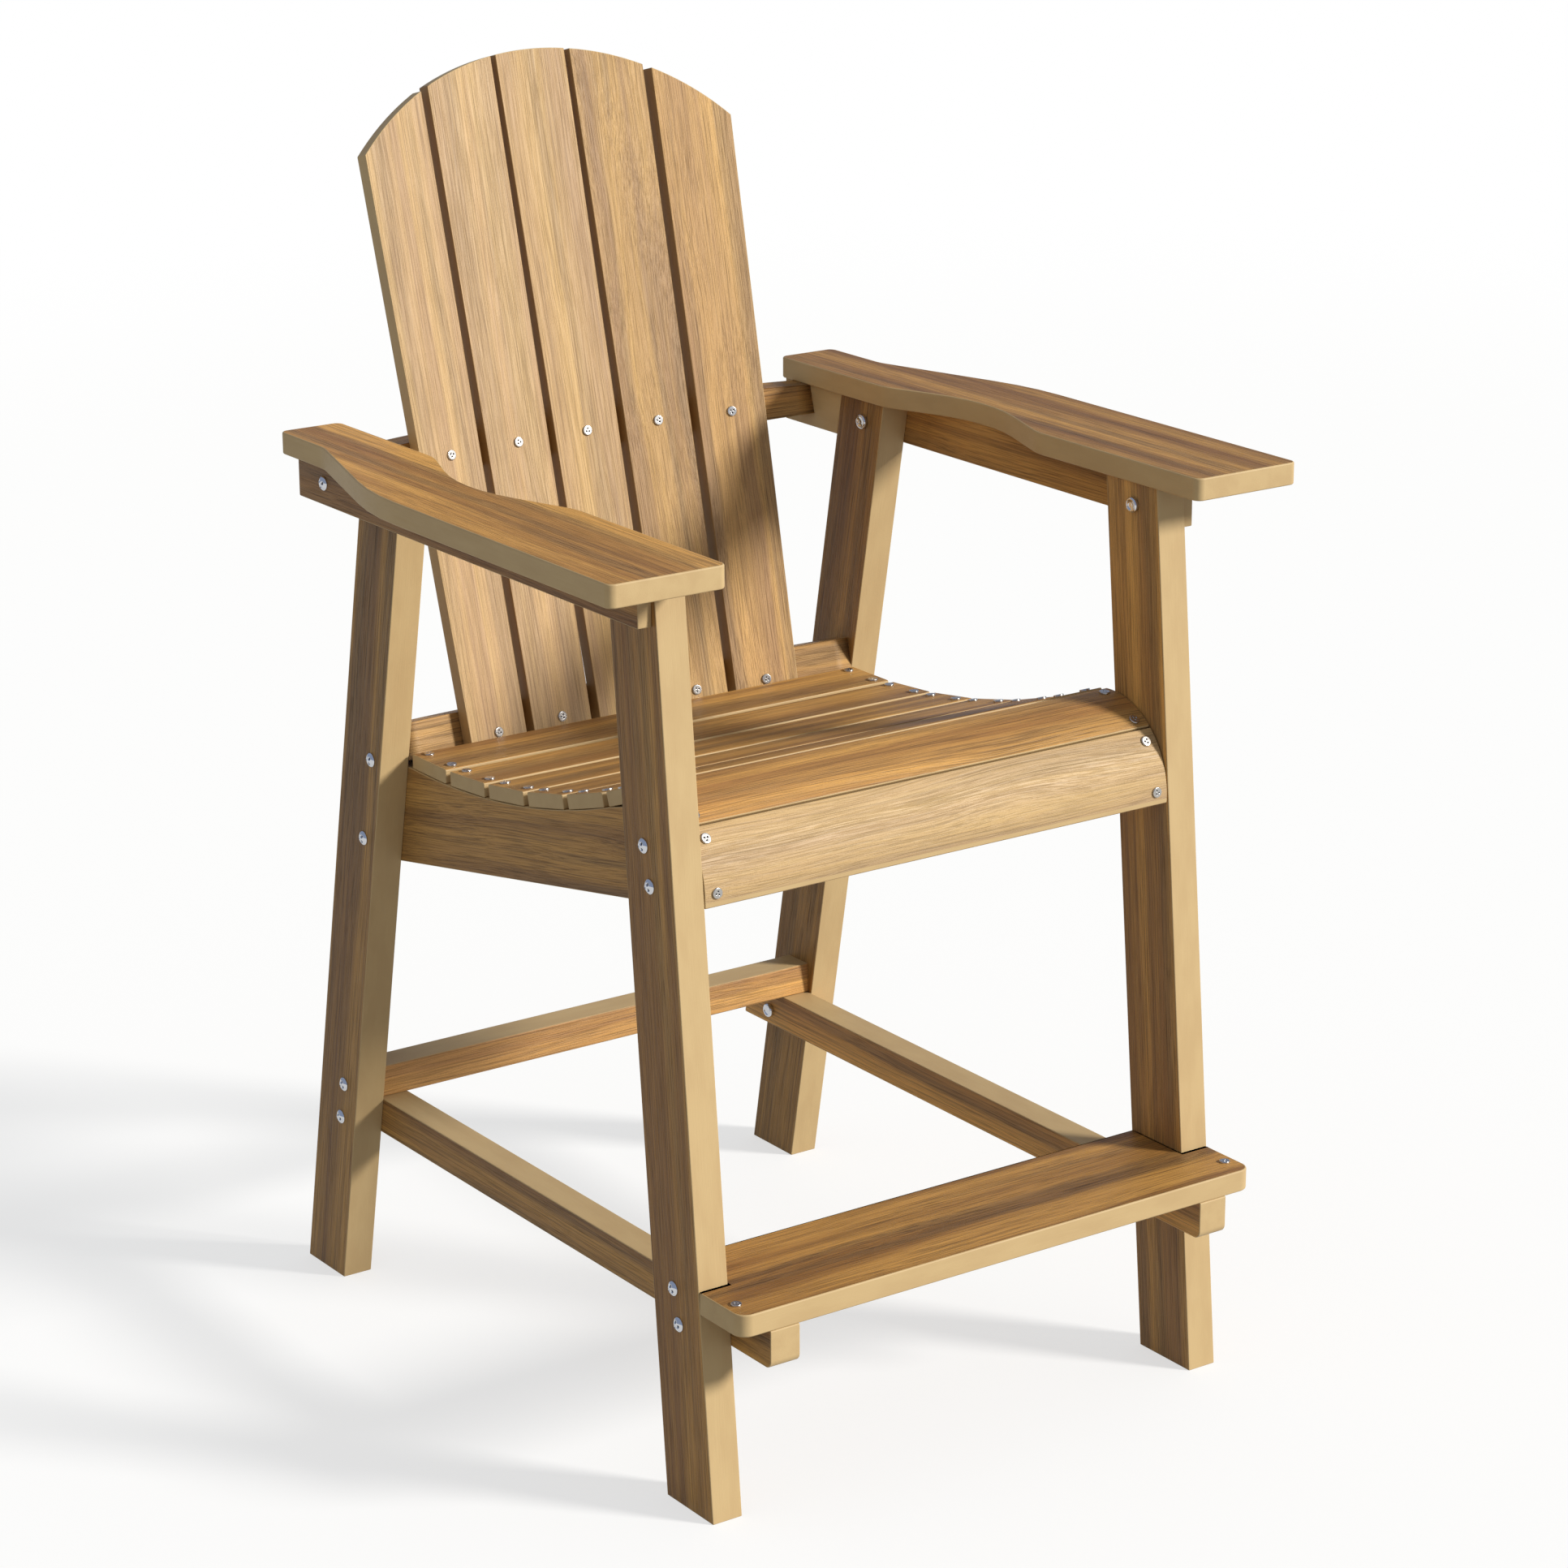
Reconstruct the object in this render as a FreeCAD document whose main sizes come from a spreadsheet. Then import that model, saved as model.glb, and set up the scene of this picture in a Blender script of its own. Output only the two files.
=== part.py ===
"""Tall outdoor armchair with a footrest, built from bolted and screwed boards.

Millimetres, +Z up. The origin lies on the floor in the middle of the chair's box. The sitter faces -Y.
Seen from the front, left is -X. Nothing on the chair moves.
"""
import FreeCAD
import Part
import Sketcher
import math
import os
import re

# Driving sizes, in millimetres and degrees
SIZES = {
    # Legs: wide faces to the sides, spread apart fore and aft
    "leg_span": 576.0,
    "leg_t": 31.0,
    "leg_top": 843.5,
    "front_leg_w": 72.5,
    "front_foot_y": -346.3,
    "front_lean": 5.2,
    "rear_leg_w": 69.0,
    "rear_foot_y": 309.1,
    "rear_lean": 10.8,
    # Footrest and stretchers
    "footrest_top": 216.0,
    "footrest_t": 21.0,
    "footrest_nose_y": -391.8,
    "footrest_corner": 13.0,
    "stretcher_t": 31.0,
    "stretcher_h": 36.5,
    "stretcher_corner": 8.0,
    "rear_stretcher_d": 34.0,
    "rear_stretcher_h": 31.5,
    "rear_stretcher_set": 8.5,
    # Seat: flat slats on a hollow curve, then two bent boards round the nose of the side rails
    "seat_low": 567.8,
    "dip_y": 166.7,
    "dip_r": 950.0,
    "slat_t": 14.0,
    "slat_w": 61.0,
    "slat_gap": 7.6,
    "slat_end_gap": 1.0,
    "nose_r": 83.0,
    "nose_start": 8.1,
    "front_slat_start": -5.2,
    "front_slat_end": 42.2,
    "nose_gap": 1.2,
    "apron_drop": 6.0,
    "seat_rail_t": 28.0,
    "seat_rail_tail_y": 257.7,
    "seat_rail_low": 448.7,
    "seat_rail_rise": 10.5,
    # Back: five tapered slats fanned on a curve, on two bent cross rails
    "back_y": 217.1,
    "back_lean": 14.4,
    "back_r": 1020.0,
    "back_height": 640.0,
    "back_foot": 9.0,
    "back_arc_r": 298.0,
    "back_slat_t": 16.0,
    "back_slat_w_low": 69.0,
    "back_slat_w_top": 78.0,
    "back_inner_low": 78.6,
    "back_inner_top": 83.2,
    "back_outer_low": 156.4,
    "back_outer_top": 169.4,
    "back_rail_t": 24.0,
    "back_rail_h": 35.0,
    "back_low_screw_drop": 5.0,
    # Arms
    "arm_t": 21.0,
    "arm_nose_y": -330.3,
    "arm_tail_y": 319.7,
    "arm_lip": 3.5,
    "arm_overhang": 83.0,
    "arm_tail_overhang": 30.0,
    "arm_corner": 8.0,
    "flare_tail_y": 236.7,
    "flare_tail_r": 60.0,
    "flare_front_y": 60.7,
    "flare_front_r": 300.0,
    "scoop_tail_y": 142.7,
    "scoop_front_y": -97.3,
    "scoop_y": 30.7,
    "scoop_depth": 43.8,
    "scoop_end_r": 60.0,
    "scoop_r": 180.0,
    "arm_rail_t": 14.0,
    "arm_rail_h": 42.0,
    "arm_rail_tail_y": 314.2,
    "arm_rail_set": 5.0,
    # Bolts: off is how far one sits behind the middle of its leg, up how far it sits above a board's edge
    "arm_block_bolt_set": 47.5,
    "rear_top_bolt_off": -6.0,
    "front_top_bolt_off": -2.5,
    "rear_seat_bolt_off": -14.0,
    "rear_seat_bolt_up": 31.0,
    "front_high_bolt_off": 6.0,
    "front_high_bolt_up": 36.0,
    "front_low_bolt_up": 1.5,
    "footrest_bolt_off": 5.0,
    "rear_stretcher_bolt_off": -11.3,
    "front_stretcher_bolt_off": 0.2,
    "stretcher_bolt_up": 15.5,
    "rail_bolt_cover": 1.6,
    # Fasteners
    "bolt_d": 8.0,
    "bolt_clearance": 0.4,
    "lag_depth": 30.0,
    "bolt_head_d": 14.0,
    "bolt_head_h": 3.5,
    "cap_nut_d": 14.6,
    "cap_nut_h": 4.5,
    "screw_head_d": 10.0,
    "screw_head_h": 2.0,
    "screw_inset": 13.6,
    "screw_spread": 41.2,
    "footrest_screw_x": 12.2,
    "footrest_screw_y": 25.0,
}

# Sizes worked out from the driving ones
LAYOUT = {
    "leg_out": "leg_span / 2",
    "leg_in": "leg_out - leg_t",
    "arm_in": "leg_in - arm_lip",
    "arm_out": "leg_out + arm_overhang",
    "arm_tail_out": "leg_out + arm_tail_overhang",
    "scoop_x": "arm_in + scoop_depth",
    "front_leg_run": "front_leg_w / cos(front_lean)",
    "rear_leg_run": "rear_leg_w / cos(rear_lean)",
    "footrest_low": "footrest_top - footrest_t",
    "stretcher_low": "footrest_low - stretcher_h",
    "arm_rail_low": "leg_top - arm_rail_h",
    # Centre of the hollow seat curve, and the angle between one slat and the next
    "dip_z": "seat_low + dip_r",
    "slat_length": "2 * (leg_in - slat_end_gap)",
    "slat_step": "(slat_w + slat_gap) / dip_r * 57.29578",
    "slat_seat_r": "dip_r + slat_t",
    "rail_dip_r": "sqrt(slat_seat_r ^ 2 + slat_w ^ 2 / 4)",
    # Underside corners of the sixth slat, where the rail's hollow curve ends and its nose starts
    "last_y": "dip_y - slat_seat_r * sin(5 * slat_step)",
    "last_z": "dip_z - slat_seat_r * cos(5 * slat_step)",
    "last_rear_y": "last_y + slat_w / 2 * cos(5 * slat_step)",
    "last_rear_z": "last_z - slat_w / 2 * sin(5 * slat_step)",
    "last_front_y": "last_y - slat_w / 2 * cos(5 * slat_step)",
    "last_front_z": "last_z + slat_w / 2 * sin(5 * slat_step)",
    "rail_nose_r": "nose_r - slat_t",
    "nose_y": "last_front_y - rail_nose_r * sin(nose_start)",
    "nose_z": "last_front_z - rail_nose_r * cos(nose_start)",
    "rail_front_y": "nose_y - rail_nose_r",
    "rail_front_low": "seat_rail_low + (seat_rail_tail_y - rail_front_y) * tan(seat_rail_rise)",
    # Back: radius of the cross rails' hollow faces, and where their ends come
    "arm_rise": "(leg_top - seat_low) / cos(back_lean) + back_slat_t * tan(back_lean)",
    "arm_rise_w": "back_slat_w_low + (back_slat_w_top - back_slat_w_low) * arm_rise / back_height",
    "back_reach": "(back_outer_top - back_outer_low) * arm_rise / back_height + arm_rise_w / 2",
    "back_rail_r": "sqrt((back_r + back_slat_t) ^ 2 + back_reach ^ 2)",
    "rail_end_front": "sqrt(back_rail_r ^ 2 - leg_in ^ 2) - back_r",
    "rail_end_rear": "sqrt((back_rail_r + back_rail_t) ^ 2 - leg_in ^ 2) - back_r",
    "rail_rest": "sqrt((back_rail_r + back_rail_t) ^ 2 - (leg_in - seat_rail_t) ^ 2) - back_r",
    "upper_rail_top": "(leg_top - seat_low + rail_end_rear * sin(back_lean)) / cos(back_lean)",
    "upper_rail_foot": "upper_rail_top - back_rail_h",
    "upper_rail_rise": "(back_rail_r + back_rail_t - back_r - rail_end_rear) * tan(back_lean)",
    "lower_rail_foot": "(rail_rest * sin(back_lean) - slat_t) / cos(back_lean)",
    "rail_bolt_depth": "rail_end_rear - bolt_d / 2 - rail_bolt_cover",
    "rail_bolt_rise": "lower_rail_foot + bolt_d / 2 + rail_bolt_cover",
    "screw_x": "leg_in - screw_inset",
}

doc = FreeCAD.newDocument("armchair")
NODES = []


def full(text):
    """An expression with each size's name led by the sheet that holds it."""

    def named(match):
        word = match.group(0)
        if word in SIZES:
            return "Sizes." + word
        if word in LAYOUT:
            return "Layout." + word
        return word

    return re.sub(r"[a-z][a-z_0-9]*", named, text)


def fill_sheets():
    """Write the driving numbers to one sheet and the formulas worked out from them to another."""
    sizes = doc.addObject("Spreadsheet::Sheet", "Sizes")
    for row, (name, number) in enumerate(SIZES.items(), start=1):
        sizes.set(f"A{row}", name)
        sizes.set(f"B{row}", str(number))
        sizes.setAlias(f"B{row}", name)
    doc.recompute()
    layout = doc.addObject("Spreadsheet::Sheet", "Layout")
    for row, (name, formula) in enumerate(LAYOUT.items(), start=1):
        layout.set(f"A{row}", name)
        layout.set(f"B{row}", "=" + full(formula))
        layout.setAlias(f"B{row}", name)
        doc.recompute()
    return sizes


sheet = fill_sheets()


def value(text):
    """The number that an expression has now."""
    return float(sheet.evalExpression(full(text)))


def front_edge(height):
    """Y of the front legs' front edge at a height."""
    return f"(front_foot_y + ({height}) * tan(front_lean))"


def rear_edge(height):
    """Y of the rear legs' front edge at a height."""
    return f"(rear_foot_y - ({height}) * tan(rear_lean))"


def bind_point(sketch, geometry, end, across, up):
    """Hold one end of a sketch's line, or a point, at two expressions."""
    for kind, text in (("DistanceX", across), ("DistanceY", up)):
        number = sketch.addConstraint(Sketcher.Constraint(kind, -1, 1, geometry, end, value(text)))
        sketch.setExpression(f"Constraints[{number}]", full(text))


def rounded(before, corner, after, radius):
    """Tangent points of an arc of a radius that rounds a corner, and the arc's middle."""
    to_before = (before - corner).normalize()
    to_after = (after - corner).normalize()
    half = to_before.getAngle(to_after) / 2
    reach = radius / math.tan(half)
    inward = (to_before + to_after).normalize()
    centre = corner + inward * (radius / math.sin(half))
    return corner + to_before * reach, centre - inward * radius, corner + to_after * reach


def bowed(start, end, radius, side):
    """Middle of the shorter arc between two points, which bows to the left (1) or right (-1) of their line."""
    chord = end - start
    half = chord.Length / 2
    left = FreeCAD.Vector(-chord.y, chord.x, 0).normalize()
    return (start + end) / 2 + left * side * (radius - math.sqrt(radius * radius - half * half))


def outline(sketch, corners):
    """Closed outline through corners, each (across, up, options).

    round is the radius of a rounded corner, and bow is (radius, side) of an arc from this corner to the next.
    """
    count = len(corners)
    points = [FreeCAD.Vector(value(across), value(up), 0) for across, up, _ in corners]
    entry = list(points)
    leave = list(points)
    arcs = [None] * count
    for i, (_, _, options) in enumerate(corners):
        if "round" in options:
            radius = value(options["round"])
            entry[i], middle, leave[i] = rounded(points[i - 1], points[i], points[(i + 1) % count], radius)
            arcs[i] = sketch.addGeometry(Part.Arc(entry[i], middle, leave[i]))
    edges = []
    for i, (_, _, options) in enumerate(corners):
        start = leave[i]
        end = entry[(i + 1) % count]
        if "bow" in options:
            radius, side = options["bow"]
            middle = bowed(start, end, value(radius), side)
            edges.append(sketch.addGeometry(Part.Arc(start, middle, end)))
        else:
            edges.append(sketch.addGeometry(Part.LineSegment(start, end)))
    ends = [edge_ends(sketch, edges[i], leave[i]) for i in range(count)]
    for i, (across, up, options) in enumerate(corners):
        last, first = edges[i - 1], edges[i]
        last_end, first_start = ends[i - 1][1], ends[i][0]
        if arcs[i] is None:
            sketch.addConstraint(Sketcher.Constraint("Coincident", last, last_end, first, first_start))
            bind_point(sketch, first, first_start, across, up)
        else:
            arc_in, arc_out = edge_ends(sketch, arcs[i], entry[i])
            sketch.addConstraint(Sketcher.Constraint("Tangent", last, last_end, arcs[i], arc_in))
            sketch.addConstraint(Sketcher.Constraint("Tangent", arcs[i], arc_out, first, first_start))
            bind_radius(sketch, arcs[i], options["round"])
            corner = sketch.addGeometry(Part.Point(points[i]), True)
            bind_point(sketch, corner, 1, across, up)
            sketch.addConstraint(Sketcher.Constraint("PointOnObject", corner, 1, last))
            sketch.addConstraint(Sketcher.Constraint("PointOnObject", corner, 1, first))
        if "bow" in options:
            bind_radius(sketch, edges[i], options["bow"][0])


def edge_ends(sketch, geometry, start):
    """Which end of a line or arc lies at its start, as an arc runs anticlockwise whichever way it was drawn."""
    first = sketch.getPoint(geometry, 1)
    return (1, 2) if first.distanceToPoint(start) < 1e-6 else (2, 1)


def bind_radius(sketch, geometry, text):
    """Hold an arc's radius at an expression."""
    number = sketch.addConstraint(Sketcher.Constraint("Radius", geometry, value(text)))
    sketch.setExpression(f"Constraints[{number}]", full(text))


def board(label, plane, corners, thickness, place=None, both_ways=False, backwards=False):
    """A body: one closed outline on an origin plane, padded to its thickness and set in its place."""
    body = doc.addObject("PartDesign::Body", label)
    sketch = body.newObject("Sketcher::SketchObject", label + "_outline")
    support = [feature for feature in body.Origin.OriginFeatures if feature.Role == plane][0]
    sketch.AttachmentSupport = (support, [""])
    sketch.MapMode = "FlatFace"
    outline(sketch, corners)
    pad = body.newObject("PartDesign::Pad", label + "_pad")
    pad.Profile = sketch
    pad.setExpression("Length", full(thickness))
    pad.Midplane = both_ways
    pad.Reversed = backwards
    if place:
        body.setExpression("Placement", full(place))
    return body


def at(across, depth, height, turns="rotation(vector(0; 0; 1); 0)"):
    """Placement expression."""
    return f"placement(vector({across}; {depth}; {height}); {turns})"


def turn(axis, angle):
    """Rotation expression about one of the axes x, y and z."""
    vector = {"x": "vector(1; 0; 0)", "y": "vector(0; 1; 0)", "z": "vector(0; 0; 1)"}[axis]
    return f"rotation({vector}; {angle})"


def node(label, thing):
    """Count an object as a sub-part of the chair, under the name that its file gets."""
    thing.Label = label
    NODES.append(thing)
    return thing


def bored(label, blank, bores):
    """A board with the bores of its bolts."""
    blank.Label = label + "_blank"
    tool = doc.addObject("Part::Compound", label + "_bores")
    tool.Links = bores
    cut = doc.addObject("Part::Cut", label + "_bored")
    cut.Base = blank
    cut.Tool = tool
    return node(label, cut)


def prism(label, sides, width, height):
    """A head or nut with a number of sides, a width across its corners and a height, seated on z = 0."""
    solid = doc.addObject("Part::Prism", label)
    solid.Polygon = sides
    solid.setExpression("Circumradius", full(f"{width} / 2"))
    solid.setExpression("Height", full(height))
    return solid


def bolt(label, length):
    """A bolt whose head rises from z = 0 and whose shank runs down from there."""
    shank = doc.addObject("Part::Cylinder", label + "_shank")
    shank.setExpression("Radius", full("bolt_d / 2"))
    shank.setExpression("Height", full(length))
    shank.setExpression("Placement", full(at("0", "0", f"-({length})")))
    whole = doc.addObject("Part::Fuse", label)
    whole.Base = shank
    whole.Tool = prism(label + "_head", 8, "bolt_head_d", "bolt_head_h")
    return whole


def copies(label, pairs):
    """One sub-part that holds copies of a fastener, each pair being the fastener and its placement."""
    links = []
    for number, (thing, place) in enumerate(pairs, start=1):
        link = doc.addObject("App::Link", f"{label}_{number}")
        link.LinkedObject = thing
        link.setExpression("Placement", full(place))
        links.append(link)
    group = doc.addObject("Part::Compound", label)
    group.Links = links
    return node(label, group)


# Bolts of one side: name, fore and aft place, height, first face, length, and the face that a cap nut sits on
BOLTS = {
    "arm_block": (
        "arm_rail_tail_y - arm_block_bolt_set",
        "leg_top - arm_rail_h / 2",
        "leg_out + arm_rail_t",
        None,
    ),
    "rear_top": (
        rear_edge("leg_top - arm_rail_h / 2") + " + rear_leg_run / 2 + rear_top_bolt_off",
        "leg_top - arm_rail_h / 2",
        "leg_out + arm_rail_t",
        "leg_in",
    ),
    "front_top": (
        front_edge("leg_top - arm_rail_h / 2") + " + front_leg_run / 2 + front_top_bolt_off",
        "leg_top - arm_rail_h / 2",
        "leg_out + arm_rail_t",
        "leg_in",
    ),
    "rear_rail": (
        "back_y + rail_bolt_depth * cos(back_lean) + rail_bolt_rise * sin(back_lean)",
        "seat_low - rail_bolt_depth * sin(back_lean) + rail_bolt_rise * cos(back_lean)",
        "leg_out",
        None,
    ),
    "rear_seat": (
        rear_edge("seat_rail_low + rear_seat_bolt_up") + " + rear_leg_run / 2 + rear_seat_bolt_off",
        "seat_rail_low + rear_seat_bolt_up",
        "leg_out",
        "leg_in - seat_rail_t",
    ),
    "front_seat_high": (
        front_edge("seat_low + front_high_bolt_up") + " + front_leg_run / 2 + front_high_bolt_off",
        "seat_low + front_high_bolt_up",
        "leg_out",
        "leg_in - seat_rail_t",
    ),
    "front_seat_low": (
        front_edge("seat_low + front_low_bolt_up") + " + front_leg_run / 2",
        "seat_low + front_low_bolt_up",
        "leg_out",
        "leg_in - seat_rail_t",
    ),
    "rear_foot": (
        rear_edge("footrest_low + rear_stretcher_h / 2") + " + rear_stretcher_set + rear_stretcher_d / 2",
        "footrest_low + rear_stretcher_h / 2",
        "leg_out",
        None,
    ),
    "front_foot": (
        front_edge("footrest_low") + " + front_leg_run / 2 + footrest_bolt_off",
        "footrest_low + footrest_t / 2",
        "leg_out",
        None,
    ),
    "rear_stretcher": (
        rear_edge("stretcher_low") + " + rear_leg_run / 2 + rear_stretcher_bolt_off",
        "stretcher_low + stretcher_bolt_up",
        "leg_out",
        "leg_in - stretcher_t",
    ),
    "front_stretcher": (
        front_edge("stretcher_low") + " + front_leg_run / 2 + front_stretcher_bolt_off",
        "stretcher_low + stretcher_bolt_up",
        "leg_out",
        "leg_in - stretcher_t",
    ),
}

BLIND_LENGTHS = {
    "arm_block": "arm_rail_t + lag_depth * 4 / 5",
    "rear_rail": "leg_t + lag_depth",
    "rear_foot": "leg_t + lag_depth",
    "front_foot": "leg_t + lag_depth",
}


def bolt_length(name):
    """Length of a bolt's shank: from its first face to its nut's, or to the bottom of its blind bore."""
    first, nut_face = BOLTS[name][2:]
    return BLIND_LENGTHS.get(name) or f"({first}) - ({nut_face})"


def bore(name, side):
    """Round tool for the bore of one bolt on the left (-1) or right (1)."""
    depth, height, first, _ = BOLTS[name]
    tool = doc.addObject("Part::Cylinder", f"bore_{name}_{'left' if side < 0 else 'right'}")
    tool.setExpression("Radius", full("(bolt_d + bolt_clearance) / 2"))
    tool.setExpression("Height", full(bolt_length(name)))
    tool.setExpression("Placement", full(at(f"{side} * ({first})", depth, height, turn("y", -90 * side))))
    return tool


BORES = {side: {name: bore(name, side) for name in BOLTS} for side in (-1, 1)}
SIDES = ((-1, "left"), (1, "right"))


def bores_of(side, *names):
    """Tools of the named bolts on one side."""
    return [BORES[side][name] for name in names]


def slab_place(side, inner, thickness):
    """Placement of a board that is padded along X and whose inner face lies at a distance from the middle."""
    return at(inner if side > 0 else f"-({inner}) - ({thickness})", "0", "0")


def make_legs(side, word):
    """The front and the rear leg of one side, cut level at the floor and under the arm."""
    front = [
        (front_edge("0"), "0", {}),
        (front_edge("0") + " + front_leg_run", "0", {}),
        (front_edge("leg_top") + " + front_leg_run", "leg_top", {}),
        (front_edge("leg_top"), "leg_top", {}),
    ]
    rear = [
        (rear_edge("0"), "0", {}),
        (rear_edge("0") + " + rear_leg_run", "0", {}),
        (rear_edge("leg_top") + " + rear_leg_run", "leg_top", {}),
        (rear_edge("leg_top"), "leg_top", {}),
    ]
    place = slab_place(side, "leg_in", "leg_t")
    for name, corners in (("front", front), ("rear", rear)):
        blank = board(f"{name}_leg_{word}_board", "YZ_Plane", corners, "leg_t", place)
        passing = [bolt for bolt in BOLTS if bolt.startswith(name)]
        bored(f"{name}_leg_{word}", blank, bores_of(side, *passing))


def make_stretchers(side, word):
    """The side stretcher: flush with the footrest's nose in front and with the rear leg behind."""
    corners = [
        ("footrest_nose_y", "footrest_low", {}),
        ("footrest_nose_y", "stretcher_low", {"round": "stretcher_corner"}),
        (rear_edge("stretcher_low") + " + rear_leg_run", "stretcher_low", {}),
        (rear_edge("footrest_low") + " + rear_leg_run", "footrest_low", {}),
    ]
    place = slab_place(side, "leg_in - stretcher_t", "stretcher_t")
    blank = board(f"side_stretcher_{word}_board", "YZ_Plane", corners, "stretcher_t", place)
    bored(f"side_stretcher_{word}", blank, bores_of(side, "front_stretcher", "rear_stretcher"))


def make_rear_stretcher():
    """The stretcher between the rear legs, standing on the side stretchers."""
    beam = doc.addObject("Part::Box", "rear_stretcher_board")
    beam.setExpression("Length", full("2 * leg_in"))
    beam.setExpression("Width", full("rear_stretcher_d"))
    beam.setExpression("Height", full("rear_stretcher_h"))
    depth = rear_edge("footrest_low + rear_stretcher_h / 2") + " + rear_stretcher_set"
    beam.setExpression("Placement", full(at("-leg_in", depth, "footrest_low")))
    bored("rear_stretcher", beam, bores_of(-1, "rear_foot") + bores_of(1, "rear_foot"))


def make_footrest():
    """The footrest board, notched round the front legs."""
    shoulder = front_edge("footrest_low")
    tail = shoulder + " + front_leg_run"
    corners = [
        ("-leg_out", "footrest_nose_y", {"round": "footrest_corner"}),
        ("leg_out", "footrest_nose_y", {"round": "footrest_corner"}),
        ("leg_out", shoulder, {}),
        ("leg_in", shoulder, {}),
        ("leg_in", tail, {}),
        ("-leg_in", tail, {}),
        ("-leg_in", shoulder, {}),
        ("-leg_out", shoulder, {}),
    ]
    blank = board("footrest_board_blank", "XY_Plane", corners, "footrest_t", at("0", "0", "footrest_low"))
    bored("footrest_board", blank, bores_of(-1, "front_foot") + bores_of(1, "front_foot"))


def make_seat_rail(side, word):
    """The seat's side rail: a hollow top edge for the flat slats, a round nose and a rising lower edge."""
    corners = [
        ("seat_rail_tail_y", "seat_rail_low", {}),
        ("seat_rail_tail_y", "seat_low - slat_t", {}),
        ("dip_y + slat_w / 2", "seat_low - slat_t", {"bow": ("rail_dip_r", 1)}),
        ("last_rear_y", "last_rear_z", {}),
        ("last_front_y", "last_front_z", {"bow": ("rail_nose_r", -1)}),
        ("rail_front_y", "nose_z", {}),
        ("rail_front_y", "rail_front_low", {}),
    ]
    place = slab_place(side, "leg_in - seat_rail_t", "seat_rail_t")
    blank = board(f"seat_rail_{word}_board", "YZ_Plane", corners, "seat_rail_t", place)
    bored(f"seat_rail_{word}", blank, bores_of(side, "rear_seat", "front_seat_high", "front_seat_low"))


def slat_place(number):
    """Placement of a flat seat slat, counted from the rear, with its origin in the middle of its top."""
    angle = f"({number - 1} * slat_step)"
    return at("0", f"dip_y - dip_r * sin{angle}", f"dip_z - dip_r * cos{angle}", turn("x", f"-{angle}"))


def make_seat_slats():
    """The six flat slats, from the rear to the front."""
    corners = [
        ("-slat_w / 2", "-slat_t", {}),
        ("slat_w / 2", "-slat_t", {}),
        ("slat_w / 2", "0", {}),
        ("-slat_w / 2", "0", {}),
    ]
    for number in range(1, 7):
        label = f"seat_slat_{number}"
        node(label, board(label, "YZ_Plane", corners, "slat_length", slat_place(number), both_ways=True))


def round_nose(angle, radius):
    """A point round the nose's centre, at an angle forward from straight up."""
    return f"nose_y - ({radius}) * sin({angle})", f"nose_z + ({radius}) * cos({angle})"


def make_front_slats():
    """The two bent boards: the front slat over the nose, and the apron that falls from it."""
    start, end = "front_slat_start", "front_slat_end"
    corners = [
        (*round_nose(start, "nose_r"), {"bow": ("nose_r", -1)}),
        (*round_nose(end, "nose_r"), {}),
        (*round_nose(end, "rail_nose_r"), {"bow": ("rail_nose_r", 1)}),
        (*round_nose(start, "rail_nose_r"), {}),
    ]
    node("seat_front_slat", board("seat_front_slat", "YZ_Plane", corners, "slat_length", both_ways=True))
    start, end = "front_slat_end + nose_gap", "90"
    corners = [
        (*round_nose(start, "nose_r"), {"bow": ("nose_r", -1)}),
        (*round_nose(end, "nose_r"), {}),
        ("nose_y - nose_r", "nose_z - apron_drop", {}),
        ("rail_front_y", "nose_z - apron_drop", {}),
        (*round_nose(end, "rail_nose_r"), {"bow": ("rail_nose_r", 1)}),
        (*round_nose(start, "rail_nose_r"), {}),
    ]
    node("seat_apron", board("seat_apron", "YZ_Plane", corners, "slat_length", both_ways=True))


BACK_FRAME = at("0", "back_y", "seat_low", turn("x", "-back_lean"))


def back_spot(number, end):
    """How far along the back's curve a slat's middle lies at its low or top end, counted from -2 to 2."""
    row = {0: "", 1: "inner", 2: "outer"}[abs(number)]
    if not row:
        return "0"
    return f"{'-' if number < 0 else ''}back_{row}_{end}"


def back_angle(number):
    """Angle of a back slat round the back's curve."""
    return f"({back_spot(number, 'low')} / back_r * 57.29578)"


def back_depth(number):
    """How far a back slat's front lies behind the middle of the curve."""
    return f"(-back_r * (1 - cos{back_angle(number)}))"


def back_slat_place(number):
    """Placement of a back slat: on the back's curve, square to its radius."""
    angle = back_angle(number)
    return BACK_FRAME + " * " + at(f"back_r * sin{angle}", back_depth(number), "0", turn("z", f"-{angle}"))


def back_shift(number, height):
    """How far a fanned slat's middle has moved sideways at a height up the slat."""
    return f"({back_spot(number, 'top')} - ({back_spot(number, 'low')})) * ({height}) / back_height"


def make_back_slats():
    """Five slats that widen upward, fan out, and share one arc across their tops."""
    for number in range(-2, 3):
        foot_half = "(back_slat_w_low - (back_slat_w_top - back_slat_w_low) * back_foot / back_height) / 2"
        foot_mid = back_shift(number, "-back_foot")
        top_mid = back_shift(number, "back_height")
        corners = [(f"{foot_mid} - {foot_half}", "-back_foot", {}), (f"{foot_mid} + {foot_half}", "-back_foot", {})]
        for half, options in (("back_slat_w_top / 2", {"bow": ("back_arc_r", -1)}), ("-back_slat_w_top / 2", {})):
            across = f"{back_spot(number, 'top')} + {half}"
            up = f"back_height - back_arc_r + sqrt(back_arc_r ^ 2 - ({across}) ^ 2)"
            corners.append((f"{top_mid} + {half}", up, options))
        label = f"back_slat_{number + 3}"
        node(label, board(label, "XZ_Plane", corners, "back_slat_t", back_slat_place(number), backwards=True))


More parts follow.
